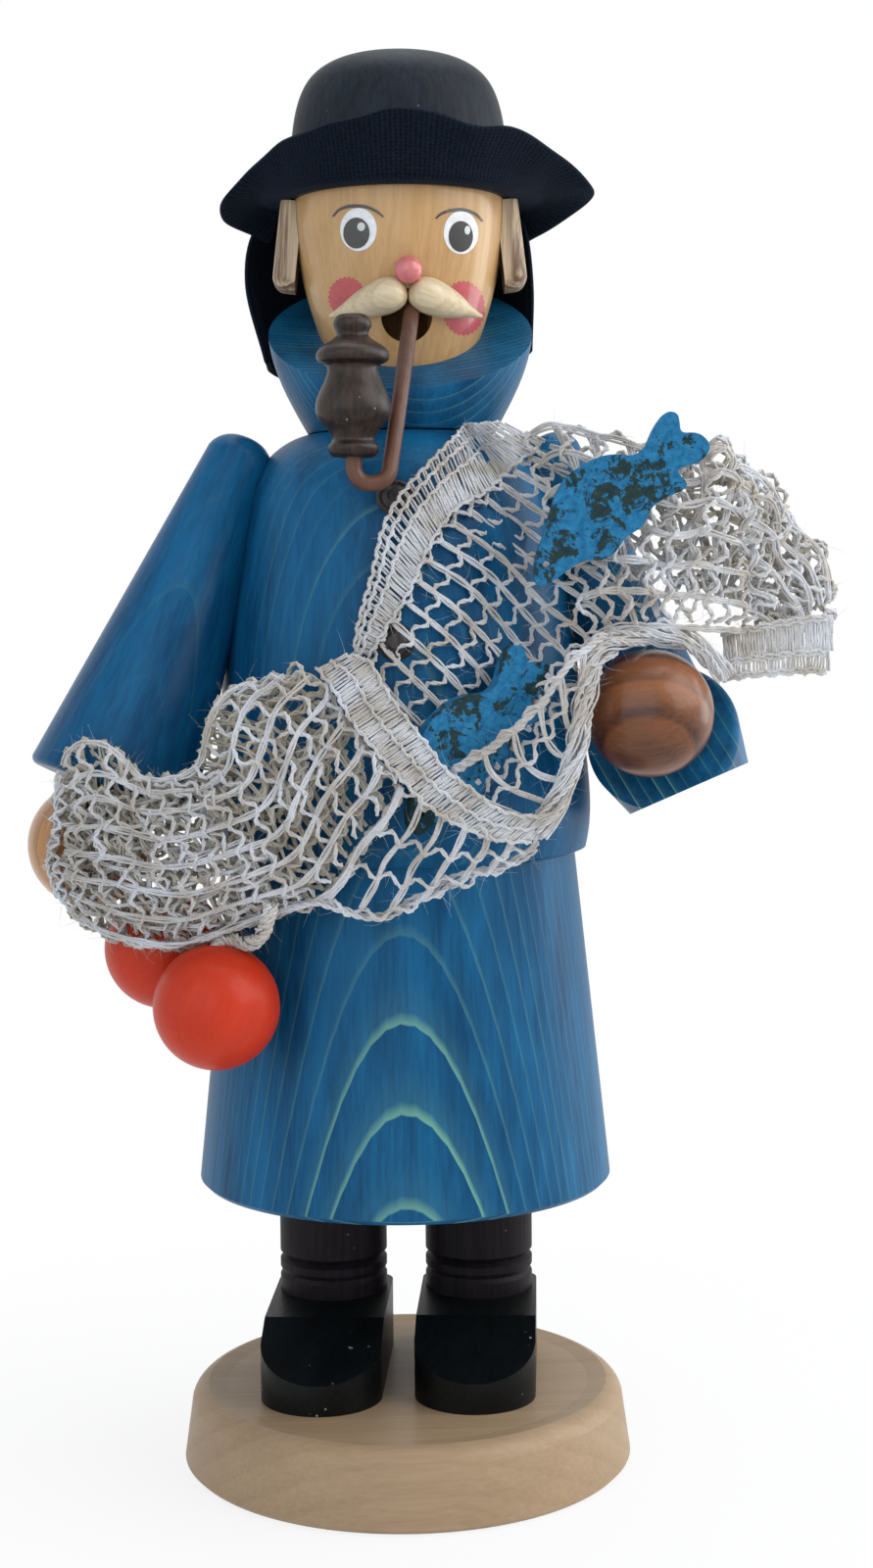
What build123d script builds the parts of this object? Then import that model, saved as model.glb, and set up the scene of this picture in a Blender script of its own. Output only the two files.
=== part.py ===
from build123d import *
import os
from math import asin, atan2, cos, degrees, pi, radians, sin, sqrt, tan

# An incense smoker in the shape of a fisherman, in millimetres.
# +Z is up, the figure faces -Y, and the origin is the centre of the base's underside.
# "left" and "right" are the viewer's, as seen from the front.

# Clearances and small common sizes
glue_gap = 0.05
soft_gap = 0.3
turn_gap = 0.06
spigot_gap = 0.3
peg_radius = 1.5
peg_length = 7.0
overrun = 1.0

# Base disc
base_radius = 38.8
base_top_radius = 37.4
base_height = 13.3
base_rim_round = 2.6
base_dish_radius = 31.4
base_dish_depth = 0.4
base_rim_width = 3.2

# Shoes
shoe_length = 43.4
shoe_width = 20.7
shoe_height = 12.0
shoe_toe_height = 5.2
shoe_slope_length = 16.2
shoe_heel_behind_leg = 8.3
shoe_heel_round = 4.0
shoe_turn_deg = 3.6

# Legs
leg_radius = 9.6
leg_spacing = 26.2
leg_set_back = 15.0
leg_height = 24.3
leg_groove_depth = 1.0
leg_groove_height = 1.6
leg_v_groove_up = 6.3
leg_band_groove_up = 3.4
leg_band_groove_depth = 0.4

# Lower body
skirt_flare = 5.9
skirt_step_in = 2.5
skirt_height = 56.6
skirt_edge_round = 0.8
spigot_play = 0.9
spigot_height = 5.0
burner_recess_radius = 13.0
burner_recess_depth = 2.0

# Burner dish and its tack
dish_radius = 11.5
dish_rim_height = 2.6
dish_wall = 0.6
tack_radius = 0.8
tack_head_radius = 1.8
tack_head_height = 0.8
tack_depth = 6.0

# Upper body
chest_radius = 32.0
chest_height = 70.6
chest_edge_round = 1.8
chest_wall = 6.5
chest_bore_radius = 6.5
chest_roof = 12.0
chest_top_share = 0.4375

# Collar
collar_radius = 22.4
collar_base_radius = 15.8
collar_waist_up = 16.6
collar_back_height = 29.4
collar_tilt_deg = 29.0

# Head
head_axis_x = 0.5
head_radius = 17.7
head_neck_radius = 8.6
head_height = 38.6
head_chamber_radius = 6.0
head_roof = 9.0
head_turn_deg = 4.5
mouth_radius = 4.2
mouth_up_share = 0.4715

# Nose, moustache and hair
nose_radius = 2.25
nose_up_share = 0.6503
nose_seat = 0.9
moustache_length = 13.6
moustache_thickness = 5.8
moustache_up_share = 0.572
moustache_droop_deg = 16.0
moustache_start = 0.55
moustache_spread_deg = 24.0
hair_above_collar = 7.2
hair_thickness = 3.9
hair_depth = 9.0
hair_top_drop = 0.2
hair_lean_deg = 6.5

# Hat
crown_radius = 18.6
crown_height = 24.1
brim_cloth = 1.2
brim_join_up = 0.6
flap_drop = 28.5

# Pipe
pipe_x = -7.0
pipe_bowl_radius = 5.9
pipe_height = 22.0
pipe_below_collar = 5.7
stem_radius = 1.3
stem_bend_radius = 2.7
stem_low_bend_x = -1.7
stem_low_bend_back = 0.4
stem_knee_x = 0.3
stem_knee_back = 5.6
stem_knee_up = 3.8
stem_lip_x = 2.1
stem_lip_in = 0.5
stem_lip_below_mouth = 1.4
stem_end_x = 2.5
stem_end_in = 4.3
stem_end_above_mouth = 2.0

# Buttons
button_radius = 3.0
button_height = 1.9
button_up_shares = (0.8329, 0.5099)
button_x = -0.7

# Arms and hands
arm_top_radius = 5.6
cuff_radius = 14.1
cuff_round = 1.2
hand_radius = 10.25
hand_seat = 0.9
left_shoulder_shares = (-0.83125, -0.125, 0.9462)
left_hand_out = 19.5
left_hand_forward = 15.0
left_hand_up = 2.8
right_shoulder_shares = (0.78125, -0.09375, 0.9462)
right_elbow_out = 17.2
right_elbow_up_share = 0.1388
elbow_radius = 10.9
elbow_spare = 2.6
elbow_cut_lean_deg = 10.7
right_cuff_radius = 12.7
right_hand_out = 7.9
right_hand_forward = 26.0
right_hand_up_share = 0.3428
forearm_root_out = 17.0
forearm_root_back = 0.7
forearm_root_up_share = 0.1586
forearm_length = 23.0
shoulder_peg_down = 8.0

# Fish
fish_thickness = 3.0
fish_length = 34.4
fish_eye_radius = 0.6
upper_fish_beside_hand = 7.2
upper_fish_above_hand = 34.0
upper_fish_rise_deg = 42.0
lower_fish_x_share = 0.328
lower_fish_sag_share = 0.0325
lower_fish_up_share = 0.2975
lower_fish_rise_deg = 50.0
lower_fish_turn_deg = 18.0

# Net, as it is draped
net_thickness = 1.0
hem_thickness = 1.3
net_cell = 6.0
net_web = 1.6
net_slope_deg = 65.0
swag_past_left_hand = 4.0
swag_short_of_right_hand = 16.9
swag_depth = 7.0
swag_top_share = 0.4844
swag_below_left_hand = 13.0
swag_hand_gap = 2.75
heap_left_of_hand = 14.4
heap_right_of_hand = 31.9
heap_above_hand = 45.0
heap_depth = 18.7
heap_before_hand = 5.3
right_hem_behind_hand = 4.5
right_hem_above_hand = 6.0
right_hem_width = 10.2
right_hem_length = 22.0
hand_roll_radius = 2.4
sling_radius = 1.8
sling_hand_gap = 0.41

# Floats
float_radius = 10.1
float_bore_radius = 1.4
float_skirt_gap = 1.6
float_hand_gap = 0.95
float_side_gap = 0.29
front_float_below_seam = 21.6
tie_radius = 1.1
tie_in_bore = 3.0
tie_gap = 0.3

# Places worked out from the sizes above
skirt_top_radius = chest_radius - skirt_step_in
skirt_bottom_radius = skirt_top_radius + skirt_flare
spigot_radius = chest_radius - chest_wall - spigot_play
dish_floor_z = base_height - base_dish_depth
shoe_top_z = dish_floor_z + shoe_height
skirt_bottom_z = shoe_top_z + leg_height
seam_z = skirt_bottom_z + skirt_height
spigot_top_z = seam_z + spigot_height
burner_floor_z = spigot_top_z - burner_recess_depth
chest_top_z = seam_z + chest_height
collar_rim_z = chest_top_z + collar_waist_up
head_bottom_z = chest_top_z
head_top_z = head_bottom_z + head_height
mouth_up = head_height * mouth_up_share
mouth_z = head_bottom_z + mouth_up
nose_up = head_height * nose_up_share
moustache_up = head_height * moustache_up_share
hair_top_up = head_height - hair_top_drop
hair_length = hair_top_up - collar_waist_up - hair_above_collar
crown_bottom_z = head_top_z
pipe_bottom_z = chest_top_z - pipe_below_collar
pipe_y = -chest_radius
stem_knee = (stem_knee_x, pipe_y + stem_knee_back, chest_top_z + stem_knee_up)
stem_lip = (stem_lip_x, stem_lip_in - head_radius, mouth_z - stem_lip_below_mouth)
stem_end = (stem_end_x, stem_end_in - head_radius, mouth_z + stem_end_above_mouth)


def on_body(shares):
    """A place from shares of the chest's radius sideways and of its height above the seam."""
    x, y, z = shares
    return (x * chest_radius, y * chest_radius, seam_z + z * chest_height)


def beside(centre, size, shares):
    return tuple(c + s * size for c, s in zip(centre, shares))


left_shoulder = on_body(left_shoulder_shares)
left_hand_centre = (-chest_radius - left_hand_out, -left_hand_forward, seam_z + left_hand_up)
right_shoulder = on_body(right_shoulder_shares)
right_elbow = (chest_radius + right_elbow_out, 0.0, seam_z + right_elbow_up_share * chest_height)
right_hand_centre = (
    chest_radius + right_hand_out, -right_hand_forward, seam_z + right_hand_up_share * chest_height)
forearm_root = (
    chest_radius + forearm_root_out, forearm_root_back, seam_z + forearm_root_up_share * chest_height)

swag_left_x = left_hand_centre[0] - swag_past_left_hand
swag_right_x = right_hand_centre[0] - swag_short_of_right_hand
swag_top_z = seam_z + swag_top_share * chest_height
swag_bottom_z = left_hand_centre[2] - swag_below_left_hand
swag_stand_off = soft_gap + hem_thickness
swag_back_clear = left_hand_forward + hand_radius + swag_hand_gap
right_hem_low_z = right_hand_centre[2] + right_hem_above_hand
right_hem_y = right_hand_centre[1] + right_hem_behind_hand
heap_left_x = right_hand_centre[0] - heap_left_of_hand
heap_right_x = right_hand_centre[0] + heap_right_of_hand
heap_top_z = right_hand_centre[2] + heap_above_hand
heap_bottom_z = right_hem_low_z + right_hem_width + soft_gap
heap_front_y = right_hand_centre[1] - heap_before_hand
heap_back_y = heap_front_y + heap_depth
upper_fish_centre = (
    right_hand_centre[0] - upper_fish_beside_hand,
    heap_front_y - soft_gap - fish_thickness / 2,
    right_hand_centre[2] + upper_fish_above_hand)
lower_fish_centre = (
    lower_fish_x_share * chest_radius,
    -chest_radius - soft_gap - lower_fish_sag_share * fish_length ** 2 / chest_radius,
    seam_z + lower_fish_up_share * chest_height)

# The roll's route round the right hand and the sling's round the left one, from each hand's
# centre in shares of its radius and of its clearance from the hand
hand_roll_shares = [
    (1.083, -0.098, 0.732), (0.498, -0.293, 1.239), (-0.380, -0.390, 1.259), (-1.161, -0.585, 0.780),
    (-1.259, -0.839, -0.195), (-1.220, -1.015, -1.268),
]
sling_shares = [(1.124, -1.019, -0.297), (0.963, 0.080, -0.257), (0.843, 0.883, 0.185)]
hand_roll_route = [beside(right_hand_centre, hand_radius, shares) for shares in hand_roll_shares]
sling_reach = hand_radius + sling_radius + sling_hand_gap
sling_route = [beside(left_hand_centre, sling_reach, shares) for shares in sling_shares]

# The back float hangs from the sling, the front one from the bundle beside it
back_float_side_share = 0.955
back_float_back_share = 0.144
back_tie_top_z = sling_route[1][2] - sling_radius - tie_gap
back_float_x = left_hand_centre[0] + back_float_side_share * sling_reach
back_float_y = left_hand_centre[1] + back_float_back_share * sling_reach
back_float_drop = sqrt(
    (hand_radius + float_radius + float_hand_gap) ** 2 - (back_float_x - left_hand_centre[0]) ** 2
    - (back_float_y - left_hand_centre[1]) ** 2)
back_float_centre = (back_float_x, back_float_y, left_hand_centre[2] - back_float_drop)
front_float_share = front_float_below_seam / skirt_height
front_float_out = skirt_top_radius + skirt_flare * front_float_share + float_radius + float_skirt_gap
back_float_out = sqrt(back_float_x ** 2 + back_float_y ** 2)
floats_apart_deg = degrees(2 * asin((float_radius + float_side_gap) * 2 / (front_float_out + back_float_out)))
front_float_turn = atan2(-back_float_x, -back_float_y) - radians(floats_apart_deg)
front_float_centre = (
    -front_float_out * sin(front_float_turn), -front_float_out * cos(front_float_turn),
    seam_z - front_float_below_seam)
front_tie_top_z = swag_bottom_z - tie_gap

# Outlines as shares of a piece's radius and height, from its bottom up
chest_outline_shares = [
    (1.0, 0.05), (0.975, 0.28), (0.925, 0.53), (0.84, 0.78), (0.745, 0.91), (0.60, 0.975),
]
collar_outline_shares = [(0.705, 0.0), (0.86, 0.22), (0.965, 0.43), (1.0, 0.62), (0.985, 0.8), (0.93, 1.0)]
head_outline_shares = [(0.49, 0.0), (0.63, 0.24), (0.79, 0.45), (0.90, 0.62), (0.965, 0.77), (1.0, 1.0)]
crown_outline_shares = [(0.985, 0.25), (0.96, 0.46), (0.91, 0.66), (0.80, 0.83), (0.60, 0.94), (0.30, 0.99)]
pipe_outline_shares = [
    (0.50, 0.0), (0.64, 0.03), (0.66, 0.08), (0.56, 0.12), (0.60, 0.16), (0.98, 0.30), (0.99, 0.38),
    (0.72, 0.56), (0.70, 0.64), (0.94, 0.68), (0.97, 0.71), (0.56, 0.82), (0.42, 0.86), (0.50, 0.92),
    (0.46, 0.97), (0.30, 1.0),
]
fish_outline_shares = [
    (-0.477, -0.015), (-0.405, 0.040), (-0.336, 0.075), (-0.175, 0.172), (-0.090, 0.198), (0.002, 0.192),
    (0.150, 0.126), (0.213, 0.068), (0.266, 0.060), (0.332, 0.085), (0.400, 0.107), (0.458, 0.103),
    (0.477, 0.071), (0.442, -0.002), (0.476, -0.039), (0.500, -0.093), (0.491, -0.134), (0.449, -0.156),
    (0.381, -0.144), (0.311, -0.121), (0.298, -0.194), (0.241, -0.191), (0.088, -0.172), (0.038, -0.194),
    (-0.071, -0.185), (-0.131, -0.198), (-0.223, -0.177), (-0.263, -0.141), (-0.362, -0.115),
    (-0.459, -0.100), (-0.500, -0.078),
]
fish_eye_share = (-0.408, -0.030)


def solid_of_revolution(points, smooth=None):
    """Turn an outline of (radius, height) points about Z; smooth is a slice of points on one curve."""
    path = [Vector(r, 0, z) for r, z in points]
    if smooth is None:
        edges = [Line(a, b) for a, b in zip(path, path[1:])]
    else:
        first, last = smooth
        edges = [Line(a, b) for a, b in zip(path[:first + 1], path[1:first + 1])]
        edges.append(Spline(path[first:last + 1]))
        edges += [Line(a, b) for a, b in zip(path[last:], path[last + 1:])]
    edges.append(Line(path[-1], path[0]))
    return revolve(make_face(Curve() + edges), Axis.Z, 360)


def scaled(shares, radius, height, bottom=0.0):
    return [(r * radius, bottom + z * height) for r, z in shares]


def cylinder_between(start, end, radius_start, radius_end=None):
    """A round bar or cone from one point to another."""
    start, end = Vector(*start), Vector(*end)
    radius_end = radius_start if radius_end is None else radius_end
    way = end - start
    plane = Plane(origin=start, z_dir=way.normalized())
    if radius_end == radius_start:
        bar = Cylinder(radius_start, way.length, align=(Align.CENTER, Align.CENTER, Align.MIN))
    else:
        bar = Cone(radius_start, radius_end, way.length, align=(Align.CENTER, Align.CENTER, Align.MIN))
    return plane * bar


def ball(centre, radius):
    return Pos(*centre) * Sphere(radius)


def toward(start, end):
    return (Vector(*end) - Vector(*start)).normalized()


def radial_frame(axis_x, turn_deg, radius, z):
    """A place on an upright round body, with local X sideways and local Y inwards."""
    return Pos(axis_x, 0, z) * Rot(0, 0, turn_deg) * Pos(0, -radius, 0)


# Base disc
def make_base():
    dish_wall_top = base_dish_radius + base_rim_width
    outline = [
        (0, 0), (base_radius - skirt_edge_round, 0), (base_radius, skirt_edge_round),
        (base_top_radius, base_height - base_rim_round),
        (dish_wall_top, base_height), (base_dish_radius, dish_floor_z), (0, dish_floor_z),
    ]
    rim = outline[3:5]
    mid = ((rim[0][0] + rim[1][0]) / 2 + base_rim_round * (1 - cos(pi / 4)) / 2,
           (rim[0][1] + rim[1][1]) / 2 + base_rim_round * (1 - cos(pi / 4)) / 2)
    points = [Vector(r, 0, z) for r, z in outline]
    edges = [Line(a, b) for a, b in zip(points[:3], points[1:4])]
    edges.append(ThreePointArc(points[3], Vector(mid[0], 0, mid[1]), points[4]))
    edges += [Line(a, b) for a, b in zip(points[4:], points[5:])]
    edges.append(Line(points[-1], points[0]))
    return revolve(make_face(Curve() + edges), Axis.Z, 360)


# Shoes and legs
def shoe_frame(side):
    """The leg's axis where it meets the shoe's sole, turned as the shoe is."""
    return Pos(side * leg_spacing / 2, leg_set_back, dish_floor_z) * Rot(0, 0, -shoe_turn_deg)


def make_shoe(side):
    half = shoe_width / 2
    heel_y = shoe_heel_behind_leg
    toe_y = heel_y - shoe_length
    sole = make_face(Curve() + [
        Line((-half, toe_y + half), (-half, heel_y - shoe_heel_round)),
        TangentArc((-half, heel_y - shoe_heel_round), (-half + shoe_heel_round, heel_y), tangent=(0, 1)),
        Line((-half + shoe_heel_round, heel_y), (half - shoe_heel_round, heel_y)),
        TangentArc((half - shoe_heel_round, heel_y), (half, heel_y - shoe_heel_round), tangent=(1, 0)),
        Line((half, heel_y - shoe_heel_round), (half, toe_y + half)),
        ThreePointArc((half, toe_y + half), (0, toe_y), (-half, toe_y + half)),
    ])
    block = extrude(sole, shoe_height)
    slope = make_face(Polyline(
        (0, toe_y - overrun, shoe_toe_height - overrun * (shoe_height - shoe_toe_height) / shoe_slope_length),
        (0, toe_y + shoe_slope_length, shoe_height),
        (0, toe_y + shoe_slope_length, shoe_height + overrun),
        (0, toe_y - overrun, shoe_height + overrun),
        close=True,
    ))
    wedge = extrude(slope, amount=half + overrun, both=True)
    shoe = block - wedge
    hole = Cylinder(peg_radius + glue_gap, shoe_height + overrun, align=(Align.CENTER, Align.CENTER, Align.MIN))
    return shoe_frame(side) * (shoe - Pos(0, 0, -overrun / 2) * hole)


def make_leg(side):
    v_low = leg_v_groove_up - leg_groove_height / 2
    v_high = leg_v_groove_up + leg_groove_height / 2
    band_low = leg_band_groove_up - leg_groove_height / 2
    band_high = leg_band_groove_up + leg_groove_height / 2
    leg = solid_of_revolution([
        (0, 0), (leg_radius, 0), (leg_radius, band_low),
        (leg_radius - leg_band_groove_depth, leg_band_groove_up), (leg_radius, band_high),
        (leg_radius, v_low), (leg_radius - leg_groove_depth, leg_v_groove_up), (leg_radius, v_high),
        (leg_radius, leg_height), (0, leg_height),
    ])
    socket = Cylinder(peg_radius + glue_gap, peg_length, align=(Align.CENTER, Align.CENTER, Align.MIN))
    leg = leg - socket - Pos(0, 0, leg_height - peg_length) * socket
    return Pos(side * leg_spacing / 2, leg_set_back, shoe_top_z) * leg


def make_leg_pegs():
    """One peg through each shoe into the base, and one from each leg into the lower body."""
    pegs = []
    low_length = shoe_height + peg_length * 2
    for side in (-1, 1):
        place = Pos(side * leg_spacing / 2, leg_set_back, 0)
        low = Cylinder(peg_radius, low_length, align=(Align.CENTER, Align.CENTER, Align.MIN))
        high = Cylinder(peg_radius, peg_length * 2, align=(Align.CENTER, Align.CENTER, Align.MIN))
        pegs.append(place * Pos(0, 0, dish_floor_z - peg_length) * low)
        pegs.append(place * Pos(0, 0, skirt_bottom_z - peg_length) * high)
    return pegs


def peg_sockets(bottom, height):
    socket = Cylinder(peg_radius + glue_gap, height, align=(Align.CENTER, Align.CENTER, Align.MIN))
    return [Pos(side * leg_spacing / 2, leg_set_back, bottom) * socket for side in (-1, 1)]


# Lower body, burner dish and tack
def make_lower_body():
    body = solid_of_revolution([
        (0, 0), (skirt_bottom_radius - skirt_edge_round, 0), (skirt_bottom_radius, skirt_edge_round),
        (skirt_top_radius, skirt_height), (spigot_radius, skirt_height),
        (spigot_radius, skirt_height + spigot_height),
        (burner_recess_radius, skirt_height + spigot_height),
        (burner_recess_radius, skirt_height + spigot_height - burner_recess_depth),
        (0, skirt_height + spigot_height - burner_recess_depth),
    ])
    body = Pos(0, 0, skirt_bottom_z) * body
    for socket in peg_sockets(skirt_bottom_z, peg_length):
        body = body - socket
    tack_hole = Cylinder(tack_radius, tack_depth, align=(Align.CENTER, Align.CENTER, Align.MAX))
    return body - Pos(0, 0, burner_floor_z) * tack_hole


def make_burner_dish():
    dish = solid_of_revolution([
        (tack_radius + turn_gap, turn_gap), (dish_radius - dish_wall, turn_gap),
        (dish_radius, dish_rim_height), (dish_radius - dish_wall, dish_rim_height),
        (dish_radius - dish_wall * 2, dish_wall + turn_gap), (tack_radius + turn_gap, dish_wall + turn_gap),
    ])
    return Pos(0, 0, burner_floor_z) * dish


def make_tack():
    head_low = dish_wall + turn_gap * 2
    tack = solid_of_revolution([
        (0, -tack_depth), (tack_radius, -tack_depth + tack_radius), (tack_radius, head_low),
        (tack_head_radius, head_low), (tack_head_radius * 0.7, head_low + tack_head_height * 0.8),
        (0, head_low + tack_head_height),
    ])
    return Pos(0, 0, burner_floor_z) * tack


# Upper body, collar and head
def chest_outline():
    """The outside of the chest from its lower edge to the flat under the collar."""
    points = [(chest_radius - chest_edge_round, 0), (chest_radius - chest_edge_round * 0.3, chest_edge_round * 0.3)]
    points += scaled(chest_outline_shares, chest_radius, chest_height)
    points.append((chest_radius * chest_top_share, chest_height))
    return points


def make_chest():
    outside = chest_outline()
    solid = solid_of_revolution([(0, 0)] + outside + [(0, chest_height)], smooth=(2, len(outside)))
    cavity_radius = chest_radius - chest_wall
    roof = chest_height - chest_roof
    cavity = solid_of_revolution([
        (0, -overrun), (cavity_radius, -overrun), (cavity_radius, chest_height * 0.5),
        (cavity_radius * 0.78, roof * 0.96), (chest_bore_radius, roof), (0, roof),
    ])
    bore = Cylinder(chest_bore_radius, chest_height, align=(Align.CENTER, Align.CENTER, Align.MIN))
    chest = solid - cavity - Pos(head_axis_x, 0, overrun) * bore
    return Pos(0, 0, seam_z) * chest


def chest_envelope(grow):
    """The chest's outside without its hollow, grown a little, to cut what is glued against it."""
    outside = [(r + grow, z) for r, z in chest_outline()]
    outside[0] = (outside[0][0], -overrun)
    solid = solid_of_revolution([(0, -overrun)] + outside + [(0, chest_height)], smooth=(2, len(outside)))
    return Pos(0, 0, seam_z) * solid


def collar_cut(z_shift=0.0):
    """Everything above the collar's leaning face."""
    size = collar_radius * 4
    block = Box(size, size, size, align=(Align.CENTER, Align.CENTER, Align.MIN))
    return Pos(head_axis_x, 0, collar_rim_z + z_shift) * Rot(collar_tilt_deg, 0, 0) * block


def make_collar():
    points = [(0, 0)] + scaled(collar_outline_shares, collar_radius, collar_back_height) + [(0, collar_back_height)]
    bowl = Pos(head_axis_x, 0, chest_top_z) * solid_of_revolution(points, smooth=(1, len(points) - 2))
    return bowl - collar_cut() - head_envelope(glue_gap)


def head_outline(grow=0.0):
    return [(r + grow, z) for r, z in scaled(head_outline_shares, head_radius, head_height)]


def head_envelope(grow):
    points = [(0, -overrun)] + [(head_neck_radius + grow, -overrun)] + head_outline(grow) + [(0, head_height)]
    return Pos(head_axis_x, 0, head_bottom_z) * solid_of_revolution(points, smooth=(2, len(points) - 2))


def make_head():
    points = [(0, 0)] + head_outline() + [(0, head_height)]
    head = solid_of_revolution(points, smooth=(1, len(points) - 2))
    chamber_height = head_height - head_roof
    chamber = Cylinder(head_chamber_radius, chamber_height + overrun, align=(Align.CENTER, Align.CENTER, Align.MIN))
    mouth = Rot(0, 0, head_turn_deg) * Rot(90, 0, 0) * Cylinder(
        mouth_radius, head_radius + overrun, align=(Align.CENTER, Align.CENTER, Align.MIN))
    socket = Cylinder(peg_radius + glue_gap, peg_length, align=(Align.CENTER, Align.CENTER, Align.MAX))
    head = head - Pos(0, 0, -overrun) * chamber - Pos(0, 0, mouth_up) * mouth - Pos(0, 0, head_height) * socket
    return Pos(head_axis_x, 0, head_bottom_z) * head


def head_radius_at(up):
    """The head's outside radius at a height above its bottom, read off its outline's chords."""
    outline = head_outline()
    for (r0, z0), (r1, z1) in zip(outline, outline[1:]):
        if up <= z1:
            return r0 + (r1 - r0) * (up - z0) / (z1 - z0)
    return outline[-1][0]


def nose_seat_place():
    reach = head_radius_at(nose_up) + nose_radius - nose_seat
    return radial_frame(head_axis_x, head_turn_deg, reach, head_bottom_z + nose_up)


def make_nose():
    return nose_seat_place() * Sphere(nose_radius) - head_envelope(glue_gap)


def make_moustache(side):
    """A carved teardrop, thick beside the nose and pointed at its end, hollowed to the face."""
    half = moustache_thickness / 2
    length = moustache_length
    tip = half * 0.12
    profile = make_face(Curve() + [
        Line((0, 0), (0, tip)),
        Spline((0, tip), (length * 0.06, half * 0.76), (length * 0.2, half), (length * 0.4, half * 0.95),
               (length * 0.64, half * 0.68), (length * 0.82, half * 0.36), (length, tip)),
        Line((length, tip), (length, 0)),
        Line((length, 0), (0, 0)),
    ])
    drop = Rot(90, 0, 0) * revolve(profile, Axis.X, 360)
    radius = head_radius_at(moustache_up) + half * 0.55
    place = radial_frame(head_axis_x, head_turn_deg, radius, head_bottom_z + moustache_up)
    half_turn = 0 if side > 0 else 180
    spread = Rot(0, 0, half_turn + side * moustache_spread_deg) * Rot(0, moustache_droop_deg, 0)
    half_piece = place * Pos(side * moustache_start, 0, 0) * spread * drop - head_envelope(glue_gap)
    return half_piece - nose_seat_place() * Sphere(nose_radius + glue_gap)


def make_hair(side):
    """A carved side lock, rounded below, hollowed to the head."""
    radius = head_radius + hair_thickness * 0.07
    block = Box(hair_thickness, hair_depth, hair_length, align=(Align.CENTER, Align.CENTER, Align.MAX))
    block = fillet(block.edges().group_by(Axis.Z)[0].sort_by(Axis.X)[-1], hair_thickness * 0.55)
    block = fillet(block.edges().filter_by(Axis.Z).group_by(Axis.X)[-1], hair_thickness * 0.6)
    lock = Rot(0, -hair_lean_deg, 0) * block
    if side < 0:
        lock = mirror(lock, about=Plane.YZ)
    return Pos(head_axis_x + side * radius, 0, head_bottom_z + hair_top_up) * lock - head_envelope(glue_gap)


# Hat
def make_crown():
    points = [(0, 0), (crown_radius, 0)] + scaled(crown_outline_shares, crown_radius, crown_height)
    points.append((0, crown_height))
    crown = solid_of_revolution(points, smooth=(2, len(points) - 1))
    socket = Cylinder(peg_radius + glue_gap, peg_length, align=(Align.CENTER, Align.CENTER, Align.MIN))
    return Pos(head_axis_x, 0, crown_bottom_z) * (crown - socket)


def make_hat_peg():
    peg = Cylinder(peg_radius, peg_length * 2 - glue_gap * 4, align=(Align.CENTER, Align.CENTER, Align.CENTER))
    return Pos(head_axis_x, 0, crown_bottom_z) * peg


# Each station of the brim: its turn from the front in degrees, then radius and height of the
# cloth's middle and outer lines, as shares of the crown's radius and height.
brim_station_shares = [
    (-112, 1.20, -0.03, 1.38, -0.17), (-97, 1.28, 0.01, 1.60, -0.10), (-89, 1.28, 0.03, 1.60, 0.0),
    (-80, 1.24, 0.05, 1.44, 0.09), (-70, 1.18, 0.08, 1.305, 0.21), (-58, 1.15, 0.12, 1.245, 0.30),
    (-45, 1.15, 0.14, 1.24, 0.325), (-33, 1.16, 0.15, 1.25, 0.34), (-16, 1.18, 0.16, 1.29, 0.39),
    (0, 1.19, 0.17, 1.305, 0.425), (10, 1.19, 0.17, 1.32, 0.42), (23, 1.19, 0.14, 1.36, 0.33),
    (40, 1.19, 0.12, 1.40, 0.345), (56, 1.22, 0.11, 1.45, 0.29), (70, 1.28, 0.09, 1.555, 0.195),
    (85, 1.36, 0.06, 1.755, 0.05), (92, 1.36, 0.03, 1.75, 0.04), (101, 1.30, -0.02, 1.53, -0.08),
    (114, 1.20, -0.05, 1.35, -0.17),
]
# The neck flap's stations, with a shoulder, a middle and a hem line: radius as shares of the
# crown's radius, height as shares of the flap's drop.
flap_station_shares = [
    (117, 1.22, -0.10, 1.29, -0.45, 1.27, -0.86), (135, 1.26, -0.10, 1.34, -0.50, 1.34, -0.95),
    (158, 1.30, -0.10, 1.38, -0.50, 1.40, -1.0), (180, 1.32, -0.10, 1.42, -0.50, 1.44, -1.0),
    (202, 1.34, -0.10, 1.46, -0.50, 1.46, -1.0), (225, 1.38, -0.10, 1.50, -0.50, 1.42, -0.98),
    (244, 1.42, -0.10, 1.51, -0.45, 1.33, -0.92),
]


def cloth_section(turn, line):
    """One upright slice through hat cloth, facing the given way, along a line of (radius, height) points."""
    def at(r, z):
        return Vector(r * sin(radians(turn)), -r * cos(radians(turn)), z)
    ways = [atan2(z1 - z0, r1 - r0) for (r0, z0), (r1, z1) in zip(line, line[1:])]
    ways = [0] + [(a + b) / 2 for a, b in zip(ways, ways[1:])] + [ways[-1]]
    far = [(r - brim_cloth * sin(way), z + brim_cloth * cos(way)) for (r, z), way in zip(line, ways)]
    points = [at(r, z) for r, z in line + far[::-1]]
    return make_face(Polyline(*points, close=True))


def make_brim():
    join = (crown_radius + soft_gap, brim_join_up)
    sections = []
    for turn, rm, zm, ro, zo in brim_station_shares:
        mid = (rm * crown_radius, zm * crown_height)
        outer = (ro * crown_radius, zo * crown_height)
        sections.append(cloth_section(turn, [join, mid, outer]))
    return Pos(head_axis_x, 0, crown_bottom_z) * loft(sections, ruled=True)


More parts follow.
